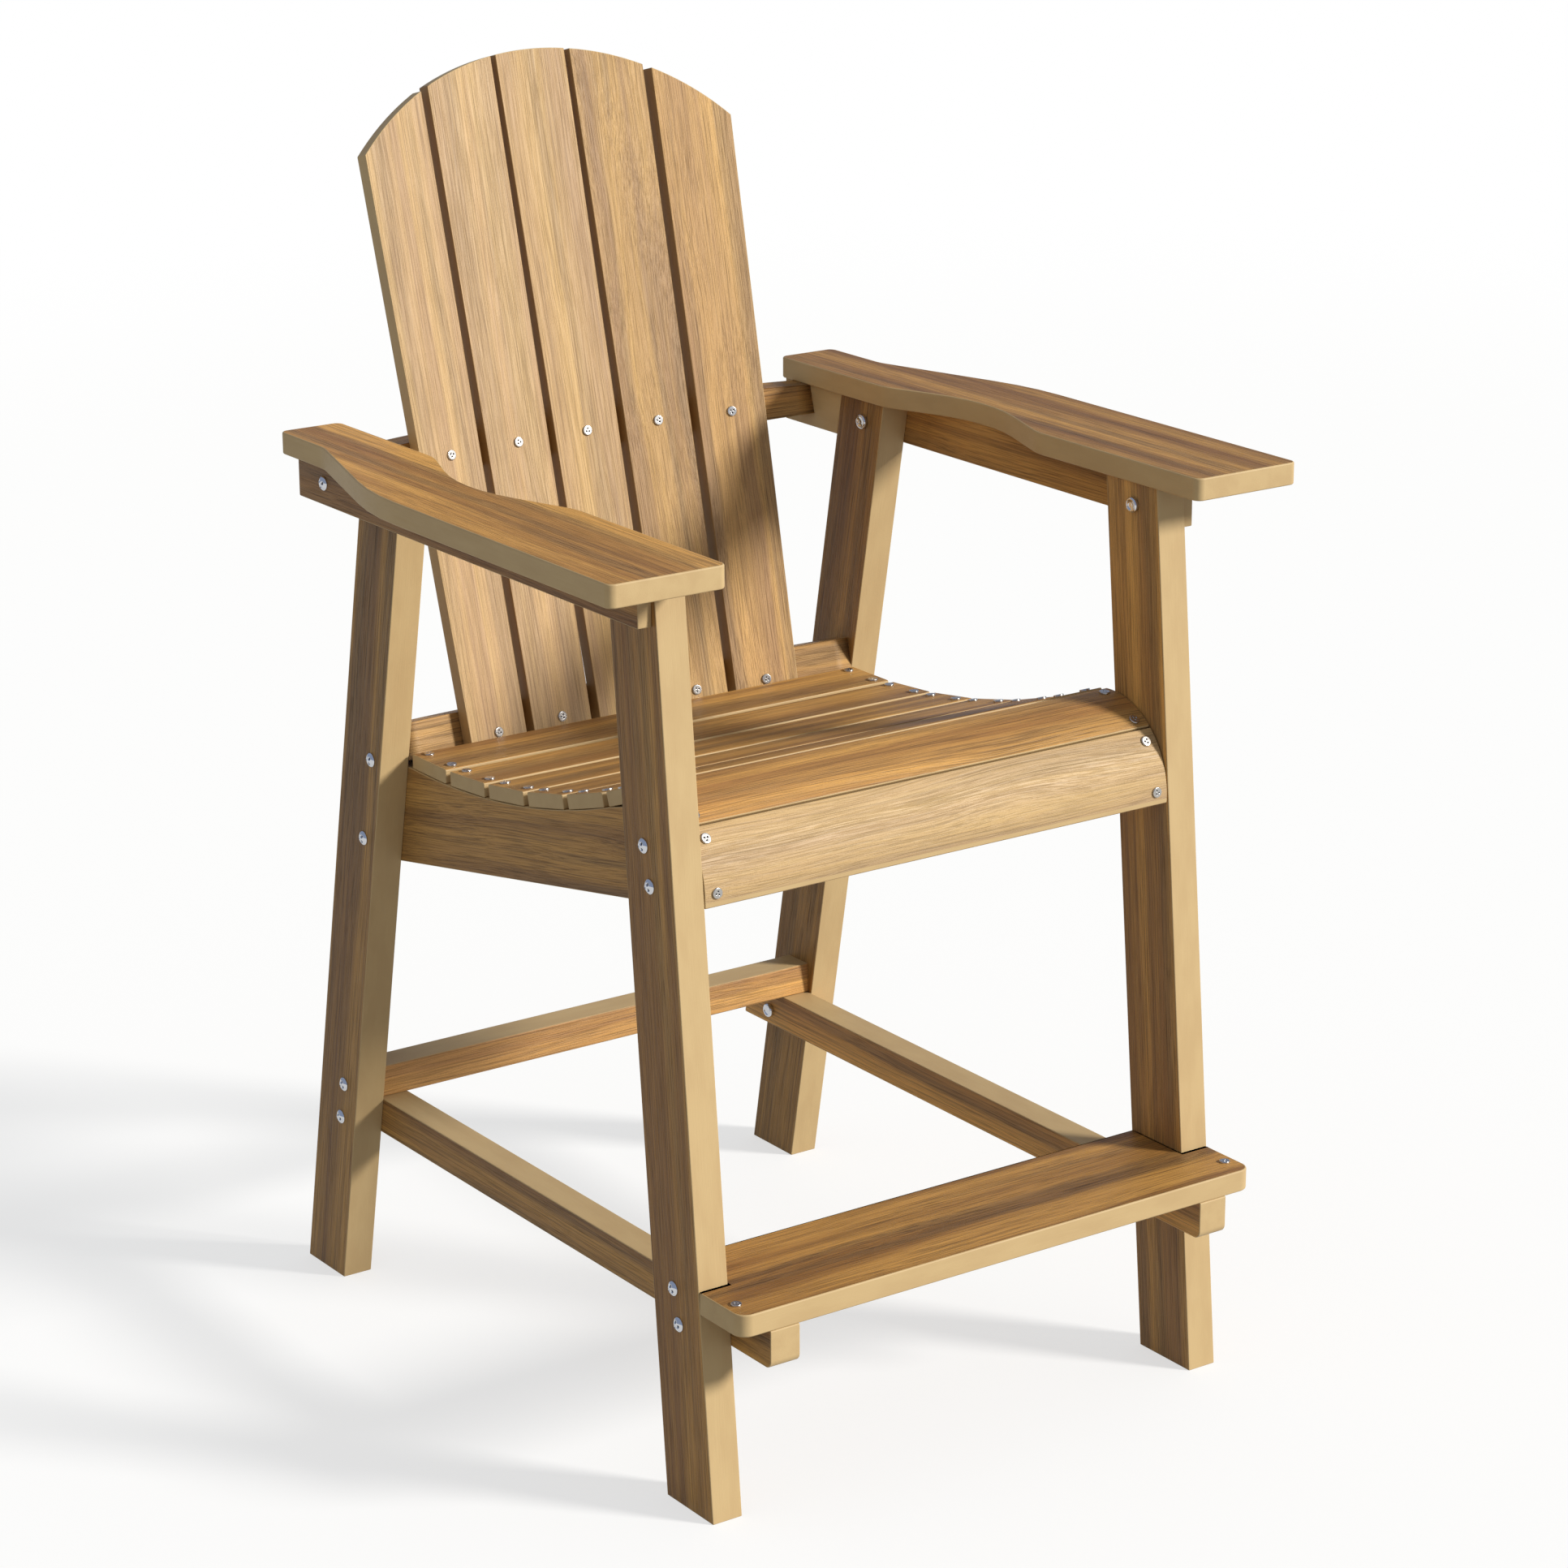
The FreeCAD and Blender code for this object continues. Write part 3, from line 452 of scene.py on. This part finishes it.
def back_slat(number):
    """A slat that widens upward, with its face square to the curve while its cut sides run straight back.

    Its middle moves outward in proportion to the height, and its top is z = tall - R + sqrt(R^2 - x^2). The
    sides towards the gaps between the slats get painted shade on their core.
    """
    spot, spot_top = (math.copysign(1, number) * place for place in SPOTS[abs(number)])
    low_half = (BACK_W - BACK_FLARE * BACK_FOOT / BACK_TALL) / 2
    low_mid = (spot_top - spot) * (-BACK_FOOT / BACK_TALL)
    top_mid = spot_top - spot
    across = spot_top + np.linspace(BACK_W_TOP / 2, -BACK_W_TOP / 2, TOP_POINTS)
    height = BACK_TALL - BACK_ARC_R + np.sqrt(BACK_ARC_R**2 - across**2)
    top = np.c_[across - spot, height, np.zeros(TOP_POINTS)]
    top[[0, -1], 2] = FINE
    foot = [(low_mid - low_half, -BACK_FOOT), (low_mid + low_half, -BACK_FOOT)]
    outline = rounded([*foot, *top], FINE)

    # Sides towards the gaps, whose core gets painted shade for the shade the slats cast on each other
    level = (outline[:, 1] + BACK_FOOT) / (BACK_TALL + BACK_FOOT)
    off_middle = outline[:, 0] - low_mid - (top_mid - low_mid) * level
    side = low_half + (BACK_W_TOP / 2 - low_half) * level - NEAR_SIDE
    in_gap = ((off_middle < -side) & (number > -2)) | ((off_middle > side) & (number < 2))
    in_gap &= outline[:, 1] < BELOW_TOP

    angle = math.degrees(spot / BACK_R)
    sideways = np.array((cosd(angle), 0, 0)) - BEHIND * sind(angle)
    centre = BACK_ORIGIN + np.array((BACK_R * sind(angle), 0, 0)) - BEHIND * BACK_R * (1 - cosd(angle))
    axes = centre, sideways, SPINE, BEHIND / cosd(angle)
    along = SPINE + sideways * (top_mid - low_mid) / (BACK_TALL + BACK_FOOT)
    board(f"back_slat_{number + 3}", outline, 0, BACK_SLAT_T, axes, along, ease=FINE, shade=in_gap)


def make_back_rails():
    """Two bent rails: the lower one rests on the seat rails, the upper one's top is level with the legs'.

    Their arcs share the centre of the back's curve. The front one touches the outer slats' rear edges, so
    its radius is sqrt((R + t)^2 + reach^2).
    """
    rise = (LEG_TOP - SEAT_LOW) / cosd(BACK_LEAN) + BACK_SLAT_T * tand(BACK_LEAN)
    spread = (SPOTS[2][1] - SPOTS[2][0]) * rise / BACK_TALL
    reach = spread + (BACK_W + BACK_FLARE * rise / BACK_TALL) / 2
    front_r = math.hypot(BACK_R + BACK_SLAT_T, reach)
    rear_r = front_r + BACK_RAIL_T
    front_half, rear_half = (math.degrees(math.asin(LEG_IN / radius)) for radius in (front_r, rear_r))
    front = arc((0, -BACK_R), front_r, 90 + front_half, 90 - front_half, BACK_RAIL_STEPS)
    rear = arc((0, -BACK_R), rear_r, 90 - rear_half, 90 + rear_half, BACK_RAIL_STEPS)
    outline = np.concatenate([front, rear])[::-1]
    level = (LEG_TOP - SEAT_LOW + outline[:, 1] * sind(BACK_LEAN)) / cosd(BACK_LEAN)
    end = math.sqrt(rear_r**2 - LEG_IN**2) - BACK_R
    upper_foot = (LEG_TOP - SEAT_LOW + end * sind(BACK_LEAN)) / cosd(BACK_LEAN) - BACK_RAIL_H
    rest = math.sqrt(rear_r**2 - RAIL_IN**2) - BACK_R
    lower_foot = (rest * sind(BACK_LEAN) - SLAT_T) / cosd(BACK_LEAN)
    axes = BACK_ORIGIN, (1, 0, 0), BEHIND, SPINE
    board("back_upper_rail", outline, upper_foot, level, axes, None, "all")
    board("back_lower_rail", outline, lower_foot, lower_foot + BACK_RAIL_H, axes, None, "all")


def make_back():
    """Five slats, numbered along x, and the rails."""
    for number in range(-2, 3):
        back_slat(number)
    make_back_rails()


# Arms


def make_arms():
    """Rails outside the legs, blocks behind the rear legs, and the shaped armrests on all of them."""
    rail_low = LEG_TOP - ARM_RAIL_H
    nose = front_leg_y(LEG_TOP - ARM_RAIL_H / 2) + ARM_RAIL_SETBACK
    outline = rounded(block((nose, rail_low), (ARM_TAIL, LEG_TOP)))
    both_sides("arm_rail", outline, LEG_OUT, LEG_OUT + ARM_RAIL_T, AFT)
    corners = [
        (rear_leg_y(rail_low) + REAR_RUN, rail_low),
        (ARM_TAIL, rail_low),
        (ARM_TAIL, LEG_TOP),
        (rear_leg_y(LEG_TOP) + REAR_RUN, LEG_TOP),
    ]
    both_sides("arm_block", rounded(corners, FINE), LEG_IN, LEG_OUT, AFT, "none", FINE)
    for sign, word in ((-1, "left"), (1, "right")):
        outline = rounded([(sign * x, y, radius) for x, y, radius in ARMREST])
        board(f"armrest_{word}", outline, LEG_TOP, LEG_TOP + ARM_T, TOP_VIEW, AFT, ease=FULL)


# Fasteners

# Radius and rise of each head, and the reach, width and depth of its pits
BOLT_HEAD, BOLT_PITS = (7.0, 3.9), (2.9, 1.45, 2.6)
SCREW_HEAD, SCREW_PITS = (5.0, 1.7), (1.8, 0.75, 1.1)
NUT_HEAD = (7.2, 4.5)
HEAD_RIM = 0.7

# How far each head is seated below its CAD solid's outer face, or for a screw below the solid's middle
BOLT_SEAT, NUT_SEAT, SCREW_SEAT = 3.5, 4.5, 1.0

# Radius at which a head's rings end, share of it that holds pits, and depth of a solid's end face
MIDDLE_R, PITTED, END_FACE = 0.05, 0.8, 0.1


def islands(node):
    """Corner points of each separate solid of a CAD node, in millimetres.

    Every point starts with its own label, and the lowest one spreads along the edges until none changes.
    """
    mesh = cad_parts[node].data
    points = np.empty(len(mesh.vertices) * 3)
    mesh.vertices.foreach_get("co", points)
    points = points.reshape(-1, 3) / MM
    edges = np.empty(len(mesh.edges) * 2, int)
    mesh.edges.foreach_get("vertices", edges)
    first_seen, same = np.unique(np.round(points, 2), axis=0, return_index=True, return_inverse=True)[1:]
    labels = first_seen.copy()
    one, other = same.ravel()[edges].reshape(-1, 2).T
    while (labels[one] != labels[other]).any():
        lowest = np.minimum(labels[one], labels[other])
        np.minimum.at(labels, one, lowest)
        np.minimum.at(labels, other, lowest)
    labels = labels[same.ravel()]
    return [points[labels == label] for label in np.unique(labels)]


def turned(profile, pits, around=40):
    """A head turned from a profile (r, h), with pits in it.

    At a distance d from a pit's centre h falls by depth sqrt(1 - (d / width)^2). Returns the head's points,
    its faces, and how far each point lies in a pit, from 0 to 1.
    """
    angle = np.linspace(0, 2 * math.pi, around, endpoint=False)
    radius, height = np.array(profile, float).T
    r, a = np.meshgrid(radius, angle, indexing="ij")
    x, y, z = r * np.cos(a), r * np.sin(a), np.repeat(height[:, None], around, axis=1)
    sunk = np.zeros(x.shape)
    for pit_x, pit_y, width, depth in pits:
        near = np.clip(1 - ((x - pit_x) ** 2 + (y - pit_y) ** 2) / width**2, 0, 1)
        near *= r < radius.max() * PITTED
        z = z - depth * near**0.5
        sunk += near
    rings = len(radius)
    lid = np.arange((rings - 1) * around, rings * around)
    return np.stack([x, y, z], -1).reshape(-1, 3), (bands(rings, around), lid[None]), sunk.ravel()


def dome(radius, rise, rim=HEAD_RIM):
    """Profile of a low dome: a short straight rim, then h = rim + (rise - rim) cos(pi r / 2R)^0.7."""
    r = np.linspace(radius, MIDDLE_R, 30)
    height = rim + (rise - rim) * np.maximum(0, np.cos(math.pi * r / 2 / radius)) ** 0.7
    return np.r_[[(radius - 0.15, 0), (radius, 0.2)], np.c_[r, height]]


def pan(radius, rise, rim=HEAD_RIM):
    """Profile of a flat head with a rounded rim: r = R - rim (1 - cos t), h = rise - rim (1 - sin t)."""
    turn = np.radians([0, 20, 40, 60, 80])
    edge = np.c_[radius - rim * (1 - np.cos(turn)), rise - rim * (1 - np.sin(turn))]
    r = np.linspace(radius - rim, MIDDLE_R, 26)
    return np.r_[[(radius, 0)], edge, np.c_[r, np.full(len(r), rise)]]


def cap(radius, rise):
    """Profile of a cap nut's end: a bevelled rim, a ring and a sunk middle."""
    rim = [(radius - 0.4, 0), (radius, 0.3), (radius, rise - 1), (radius - 0.9, rise), (radius * 0.66, rise)]
    middle = [(radius * 0.6, rise - 0.7), (radius * 0.3, rise - 0.5), (MIDDLE_R, rise - 0.5)]
    return rim + middle


def tri_pits(reach, width, depth, turn):
    """Three round pits set in a triangle, at reach (cos a, sin a)."""
    places = np.radians(turn + np.array((0, 120, 240)))
    return [(reach * math.cos(place), reach * math.sin(place), width, depth) for place in places]


def bolt(number):
    """Domed head, each with its pits 9 degrees further round than the last."""
    return turned(dome(*BOLT_HEAD), tri_pits(*BOLT_PITS, 80 + 9 * number))


def screw(number):
    """Flat head, each with its pits 47 degrees further round than the last."""
    return turned(pan(*SCREW_HEAD), tri_pits(*SCREW_PITS, 30 + 47 * number))


def nut(number):
    """End of a cap nut, the same for each."""
    return turned(cap(*NUT_HEAD), [])


def fasteners(node, shape, facing, steel):
    """Detailed heads in place of a CAD node's plain ones: each sits where its solid does."""
    points, faces, sunk = [], [], []
    for number, solid in enumerate(islands(node)):
        outward, seat = facing(solid)
        head, head_faces, head_sunk = shape(number)
        side = unit(np.cross(outward, (0, 0, 1) if abs(outward[2]) < 0.9 else (0, 1, 0)))
        third = np.cross(outward, side)
        base = number * len(head)
        points.append(seat + head @ np.array([side, third, outward]))
        faces += [face for group in head_faces for face in (group + base).tolist()]
        sunk.append(head_sunk)
    mesh = bpy.data.meshes.new(node)
    mesh.from_pydata((np.concatenate(points) * MM).tolist(), [], faces)
    mesh.polygons.foreach_set("use_smooth", np.ones(len(faces), bool))
    values = np.concatenate(sunk).astype(np.float32)
    mesh.attributes.new("sunk", "FLOAT", "POINT").data.foreach_set("value", values)
    mesh.materials.append(steel)
    piece = bpy.data.objects.new(node + "_heads", mesh)
    bpy.context.collection.objects.link(piece)
    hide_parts(node)
    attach(piece, "root")


def across_chair(sign, depth):
    """Facing of a bolt or nut that runs across the chair: outward along sign x, a depth inside its end."""

    def facing(solid):
        outward = np.array((sign, 0.0, 0.0))
        reach = (solid * outward).sum(1)
        end = solid[reach > reach.max() - END_FACE].mean(0)
        return outward, end - outward * depth

    return facing


def on_face(rough):
    """Facing of a flat head: along its shortest extent, on the side of a rough direction."""

    def facing(solid):
        corners = np.unique(np.round(solid, 2), axis=0)
        centre = corners.mean(0)
        outward = np.linalg.svd(corners - centre)[2][2]
        outward = outward * np.sign(outward @ np.array(rough, float))
        return outward, centre - outward * SCREW_SEAT

    return facing


def make_fasteners():
    """Bolts and cap nuts of both sides, and the screws of seat, back and footrest."""
    for sign, word in ((-1, "left"), (1, "right")):
        fasteners(f"bolts_{word}", bolt, across_chair(sign, BOLT_SEAT), POLISHED)
        fasteners(f"cap_nuts_{word}", nut, across_chair(-sign, NUT_SEAT), POLISHED)
    fasteners("seat_screws", screw, on_face((0, -0.5, 1)), BRUSHED)
    fasteners("back_screws", screw, on_face((0, -1, 0.2)), BRUSHED)
    fasteners("footrest_screws", screw, on_face((0, 0, 1)), BRUSHED)


# Materials


class Value:
    """A shader socket that takes part in sums, each of which adds a Math node."""

    def __init__(self, shader, socket):
        self.shader = shader
        self.socket = socket

    def math(self, operation, first, second):
        """Result of a Math node on two values or numbers."""
        return self.shader.node("ShaderNodeMath", {"operation": operation}, {0: first, 1: second})

    def __add__(self, other):
        return self.math("ADD", self, other)

    def __radd__(self, other):
        return self.math("ADD", other, self)

    def __sub__(self, other):
        return self.math("SUBTRACT", self, other)

    def __rsub__(self, other):
        return self.math("SUBTRACT", other, self)

    def __mul__(self, other):
        return self.math("MULTIPLY", self, other)

    def __rmul__(self, other):
        return self.math("MULTIPLY", other, self)

    def between(self, low, high):
        """0 below low, 1 above high, smooth in between."""
        settings = {"interpolation_type": "SMOOTHSTEP"}
        sockets = {"Value": self, "From Min": low, "From Max": high}
        return self.shader.node("ShaderNodeMapRange", settings, sockets, "Result")


class Shader:
    """The nodes of a material or of the world, with the surface that it starts with."""

    def __init__(self, owner, surface="Principled BSDF", end="Material Output"):
        owner.use_nodes = True
        self.owner = owner
        self.tree = owner.node_tree
        self.surface = self.tree.nodes[surface]
        self.own = Value(self, self.surface.outputs[0])
        self.end = self.tree.nodes[end]

    def fill(self, made, sockets):
        """Gives a node's sockets their values or links."""
        for name, item in sockets.items():
            if isinstance(item, Value):
                self.tree.links.new(item.socket, made.inputs[name])
            else:
                made.inputs[name].default_value = item

    def node(self, kind, settings, sockets, output=0):
        """A node of a type: its settings are set first, then its sockets. Returns one output."""
        made = self.tree.nodes.new(kind)
        for name, setting in settings.items():
            setattr(made, name, setting)
        self.fill(made, sockets)
        return Value(self, made.outputs[output])

    def coat(self, sockets):
        """Gives the surface its values or links."""
        self.fill(self.surface, sockets)

    def show(self, surface):
        """Puts a surface at the end of the tree."""
        self.fill(self.end, {"Surface": surface})

    def attribute(self, name, output="Fac"):
        """A point attribute of the piece."""
        return self.node("ShaderNodeAttribute", {"attribute_name": name}, {}, output)

    def ray(self, kind):
        """1 for rays of a kind, else 0."""
        return self.node("ShaderNodeLightPath", {}, {}, kind)

    def object_place(self):
        """Place on the piece in metres."""
        return self.node("ShaderNodeTexCoord", {}, {}, "Object")

    def vector(self, operation, sockets, output=0):
        """Result of a Vector Math node."""
        return self.node("ShaderNodeVectorMath", {"operation": operation}, sockets, output)

    def stretched(self, vector, scale, shift=(0, 0, 0)):
        """A place scaled along each axis and shifted."""
        return self.node("ShaderNodeMapping", {}, {"Vector": vector, "Scale": scale, "Location": shift})

    def noise(self, vector, scale=1.0, detail=3.0, roughness=0.5):
        """Soft noise from 0 to 1."""
        sockets = {"Vector": vector, "Scale": scale, "Detail": detail, "Roughness": roughness}
        return self.node("ShaderNodeTexNoise", {}, sockets, "Fac")

    def mix(self, share, first, second):
        """First colour where share is 0, second where it is 1."""
        settings = {"data_type": "RGBA", "clamp_factor": True}
        return self.node("ShaderNodeMix", settings, {0: share, 6: first, 7: second}, 2)

    def mix_surface(self, share, first, second):
        """First surface where share is 0, second where it is 1."""
        return self.node("ShaderNodeMixShader", {}, {0: share, 1: first, 2: second})

    def bump(self, height, distance, strength):
        """Surface relief from a height."""
        sockets = {"Height": height, "Distance": distance, "Strength": strength}
        self.coat({"Normal": self.node("ShaderNodeBump", {}, sockets, "Normal")})


def srgb(red, green, blue):
    """Linear colour of an 8-bit sRGB one."""
    share = np.array((red, green, blue)) / 255
    linear = np.where(share <= 0.04045, share / 12.92, ((share + 0.055) / 1.055) ** 2.4)
    return (*linear, 1.0)


def grey(level):
    """Linear grey."""
    return (level, level, level, 1.0)


# Colours of the grained faces, of the pale calm boards, which stand partly for a painted sheen of the sun,
# of the fine marks and of the core
BROWN, GOLD, GREYISH = srgb(144, 100, 52), srgb(205, 153, 80), srgb(114, 92, 62)
PALE_ROSY, PALE_GOLD, PALE_GREYISH = srgb(182, 152, 117), srgb(194, 165, 117), srgb(160, 136, 106)
LINE, DASH, GRIT = srgb(80, 58, 34), srgb(66, 46, 26), srgb(84, 62, 38)
# The last core colour is painted shade for the back slats' sides in the gaps
CORE, CORE_LIGHT, CORE_PAINTED_SHADE = srgb(189, 161, 116), srgb(195, 168, 122), srgb(152, 118, 74)
# Painted shade inside the heads' pits
PIT_PAINTED_SHADE = srgb(58, 56, 56)
ALL_LIGHTNESS = 1.06


def make_lumber():
    """Golden faces with soft grey and brown bands and fine dark marks, and a plain tan core on cut edges."""
    wood = Shader(bpy.data.materials.new("lumber"))
    place = wood.attribute("grain", "Vector")
    cut = wood.attribute("cut").between(0.12, 0.4)
    light, evenness_and_sheen, figure, shade = (wood.attribute(name) for name in ("light", "evenness_and_sheen", "figure", "shade"))

    # The figure bends the grain sideways
    bend = (wood.noise(wood.stretched(place, (3.2, 16, 16)), detail=1) - 0.5) * (figure * 0.03 + 0.002)
    offset = wood.node("ShaderNodeCombineXYZ", {}, {"Y": bend, "Z": bend})
    flow = wood.vector("ADD", {0: place, 1: offset})
    broad = wood.noise(wood.stretched(flow, (0.8, 32, 32)), detail=1).between(0.38, 0.62)
    veil = wood.noise(wood.stretched(flow, (1.0, 46, 46), (7, 3, 5)), detail=1).between(0.5, 0.66)
    band = wood.noise(wood.stretched(flow, (2.2, 150, 150)), detail=1).between(0.3, 0.7)
    line = wood.noise(wood.stretched(flow, (7, 700, 700)), detail=2, roughness=0.6).between(0.48, 0.62)
    dash = wood.noise(wood.stretched(flow, (16, 1200, 1200)), detail=2, roughness=0.6)
    grit = wood.noise(place, 1000, detail=2)

    # Wide soft bands, paler and calmer on some boards, where the pale colours are partly the boards' own and
    # partly a painted sheen of the sun
    colour = wood.mix(broad * 0.75 + band * 0.25, BROWN, GOLD)
    colour = wood.mix(veil * 0.4, colour, GREYISH)
    pale = wood.mix(broad * 0.6 + band * 0.4, PALE_ROSY, PALE_GOLD)
    colour = wood.mix(evenness_and_sheen * 0.9, colour, wood.mix(veil * 0.4, pale, PALE_GREYISH))

    # Fine dark marks
    # Fainter fine marks where the painted sheen of the sun washes them out
    calm = 1 - evenness_and_sheen * 0.5
    fine = dash.between(0.52, 0.62) * (0.6 + veil * 0.4)
    colour = wood.mix(line * calm * 0.42, colour, LINE)
    colour = wood.mix(fine * calm * 0.55, colour, DASH)
    colour = wood.mix(grit.between(0.56, 0.66) * 0.18, colour, GRIT)
    # Each board's lightness, which holds painted light and shade besides the board's own tone
    colour = wood.vector("SCALE", {0: colour, "Scale": light * ALL_LIGHTNESS})

    mottle = wood.noise(wood.stretched(place, (18, 60, 60)), detail=3).between(0.3, 0.7)
    # The core is darkened with painted shade where the shade attribute is 1, on the back slats' sides in the
    # gaps
    core = wood.mix(shade, wood.mix(mottle, CORE, CORE_LIGHT), CORE_PAINTED_SHADE)
    rough = 0.46 + fine * 0.15 + cut * 0.04
    wood.coat({"Base Color": wood.mix(cut, colour, core), "Roughness": rough, "Specular IOR Level": 0.3})
    relief = (grit * 0.5 - line * 0.7 - dash.between(0.45, 0.65)) * (1 - cut * 0.85)
    wood.bump(relief, 0.0003, 0.5)
    return wood.owner


def make_steel(name, rough, dark, bright):
    """Stainless steel with a faint haze from a dark to a bright shade, and rough pits darkened with painted
    shade.
    """
    steel = Shader(bpy.data.materials.new(name))
    haze = steel.noise(steel.object_place(), 900, detail=3)
    pit = steel.attribute("sunk").between(0.05, 0.45)
    # The pits get painted shade over the steel, and more roughness
    colour = steel.mix(pit, steel.mix(haze, dark, bright), PIT_PAINTED_SHADE)
    steel.coat({"Base Color": colour, "Metallic": 1.0, "Roughness": haze * 0.1 + pit * 0.3 + rough})
    steel.bump(haze, 0.00005, 0.3)
    return steel.owner


# Stage

FLOOR_HALF = 30.0

# The floor's colour for the camera and for other rays, and how much it glows near by and in reflections
FLOOR_SEEN, FLOOR_UNSEEN = grey(0.99), grey(0.46)
NEAR_GLOW, MIRRORED_GLOW = 0.63, 0.6
FADE_CENTRE, FADE_FROM, FADE_TO = (1.2, 1.2, 0.0), 2.2, 4.5

# Light from all round and from the sun, whose side and front parts point towards it
SKY, SKY_STRENGTH, MIRRORED_SKY = (0.93, 0.97, 1.0, 1), 0.42, (0.27, 0.32, 0.44, 1)
SUN_STRENGTH, SUN_ANGLE, SUN_COLOUR = 4.1, 11, (1.0, 0.97, 0.92)
SUN_SIDE, SUN_FRONT, SUN_HEIGHT = 0.65, -0.76, 26


def make_floor():
    """A pale floor with light shadows that fades into white away from the chair."""
    mesh = bpy.data.meshes.new("floor")
    corners = block((-FLOOR_HALF, -FLOOR_HALF), (FLOOR_HALF, FLOOR_HALF))
    mesh.from_pydata([(*corner, 0) for corner in corners], [], [(0, 1, 2, 3)])
    floor = bpy.data.objects.new("floor", mesh)
    bpy.context.collection.objects.link(floor)
    pale = Shader(bpy.data.materials.new("floor"))
    seen, mirrored = pale.ray("Is Camera Ray"), pale.ray("Is Glossy Ray")
    colour = pale.mix(seen, FLOOR_UNSEEN, FLOOR_SEEN)
    pale.coat({"Base Color": colour, "Roughness": 0.9, "Specular IOR Level": 0.0})
    span = pale.vector("SUBTRACT", {0: pale.object_place(), 1: FADE_CENTRE})
    fade = pale.vector("LENGTH", {0: span}, "Value").between(FADE_FROM, FADE_TO)
    glow = (NEAR_GLOW + fade * (1 - NEAR_GLOW)) * seen + mirrored * MIRRORED_GLOW
    white = pale.node("ShaderNodeEmission", {}, {"Color": grey(1.0), "Strength": 1.0})
    pale.show(pale.mix_surface(glow, pale.own, white))
    mesh.materials.append(pale.owner)


def make_sky():
    """Soft light all round that the camera sees as white and reflections as a dim blue."""
    sky = Shader(bpy.data.worlds.new("studio"), "Background", "World Output")
    sky.coat({"Color": SKY, "Strength": SKY_STRENGTH})
    dim = sky.node("ShaderNodeBackground", {}, {"Color": MIRRORED_SKY})
    white = sky.node("ShaderNodeBackground", {}, {"Color": grey(1.0)})
    lighting = sky.mix_surface(sky.ray("Is Glossy Ray"), sky.own, dim)
    sky.show(sky.mix_surface(sky.ray("Is Camera Ray"), lighting, white))
    bpy.context.scene.world = sky.owner


def make_sun():
    """A low sun from the right of the picture."""
    lamp = bpy.data.lights.new("sun", "SUN")
    lamp.energy = SUN_STRENGTH
    lamp.angle = math.radians(SUN_ANGLE)
    lamp.color = SUN_COLOUR
    sun = bpy.data.objects.new("sun", lamp)
    bpy.context.collection.objects.link(sun)
    toward = Vector((SUN_SIDE * cosd(SUN_HEIGHT), SUN_FRONT * cosd(SUN_HEIGHT), sind(SUN_HEIGHT)))
    sun.rotation_mode = "QUATERNION"
    sun.rotation_quaternion = toward.to_track_quat("Z", "Y")


# Camera solved from the photograph: the point it looks at, its distance and its turns
LOOK_AT, LOOK_FROM = (-2.07, -50.3, 555.18), 4059.2
AZIMUTH, ELEVATION, ROLL = -34.977, 17.589, -0.203
SENSOR, LENS, FARTHEST = 36.0, 100.216, 200.0


def make_camera():
    """A camera that looks at a point from an azimuth and an elevation, rolled about its own axis."""
    level = cosd(ELEVATION)
    back = Vector((sind(AZIMUTH) * level, -cosd(AZIMUTH) * level, sind(ELEVATION)))
    right = (-back).cross(Vector((0, 0, 1))).normalized()
    up = right.cross(-back)
    tilted = right * cosd(ROLL) + up * sind(ROLL), up * cosd(ROLL) - right * sind(ROLL)
    data = bpy.data.cameras.new("camera")
    data.sensor_width = SENSOR
    data.lens = LENS
    data.clip_end = FARTHEST
    camera = bpy.data.objects.new("camera", data)
    bpy.context.collection.objects.link(camera)
    place = Vector(LOOK_AT) * MM + back * LOOK_FROM * MM
    camera.matrix_world = Matrix.Translation(place) @ Matrix((*tilted, back)).transposed().to_4x4()
    bpy.context.scene.camera = camera


bpy.context.scene.view_settings.view_transform = "Standard"
LUMBER = make_lumber()
POLISHED = make_steel("polished_stainless", 0.06, srgb(206, 208, 212), srgb(228, 229, 231))
BRUSHED = make_steel("brushed_stainless", 0.22, srgb(186, 182, 175), srgb(210, 207, 201))
make_legs()
make_base()
make_seat()
make_back()
make_arms()
make_fasteners()
make_floor()
make_sky()
make_sun()
make_camera()
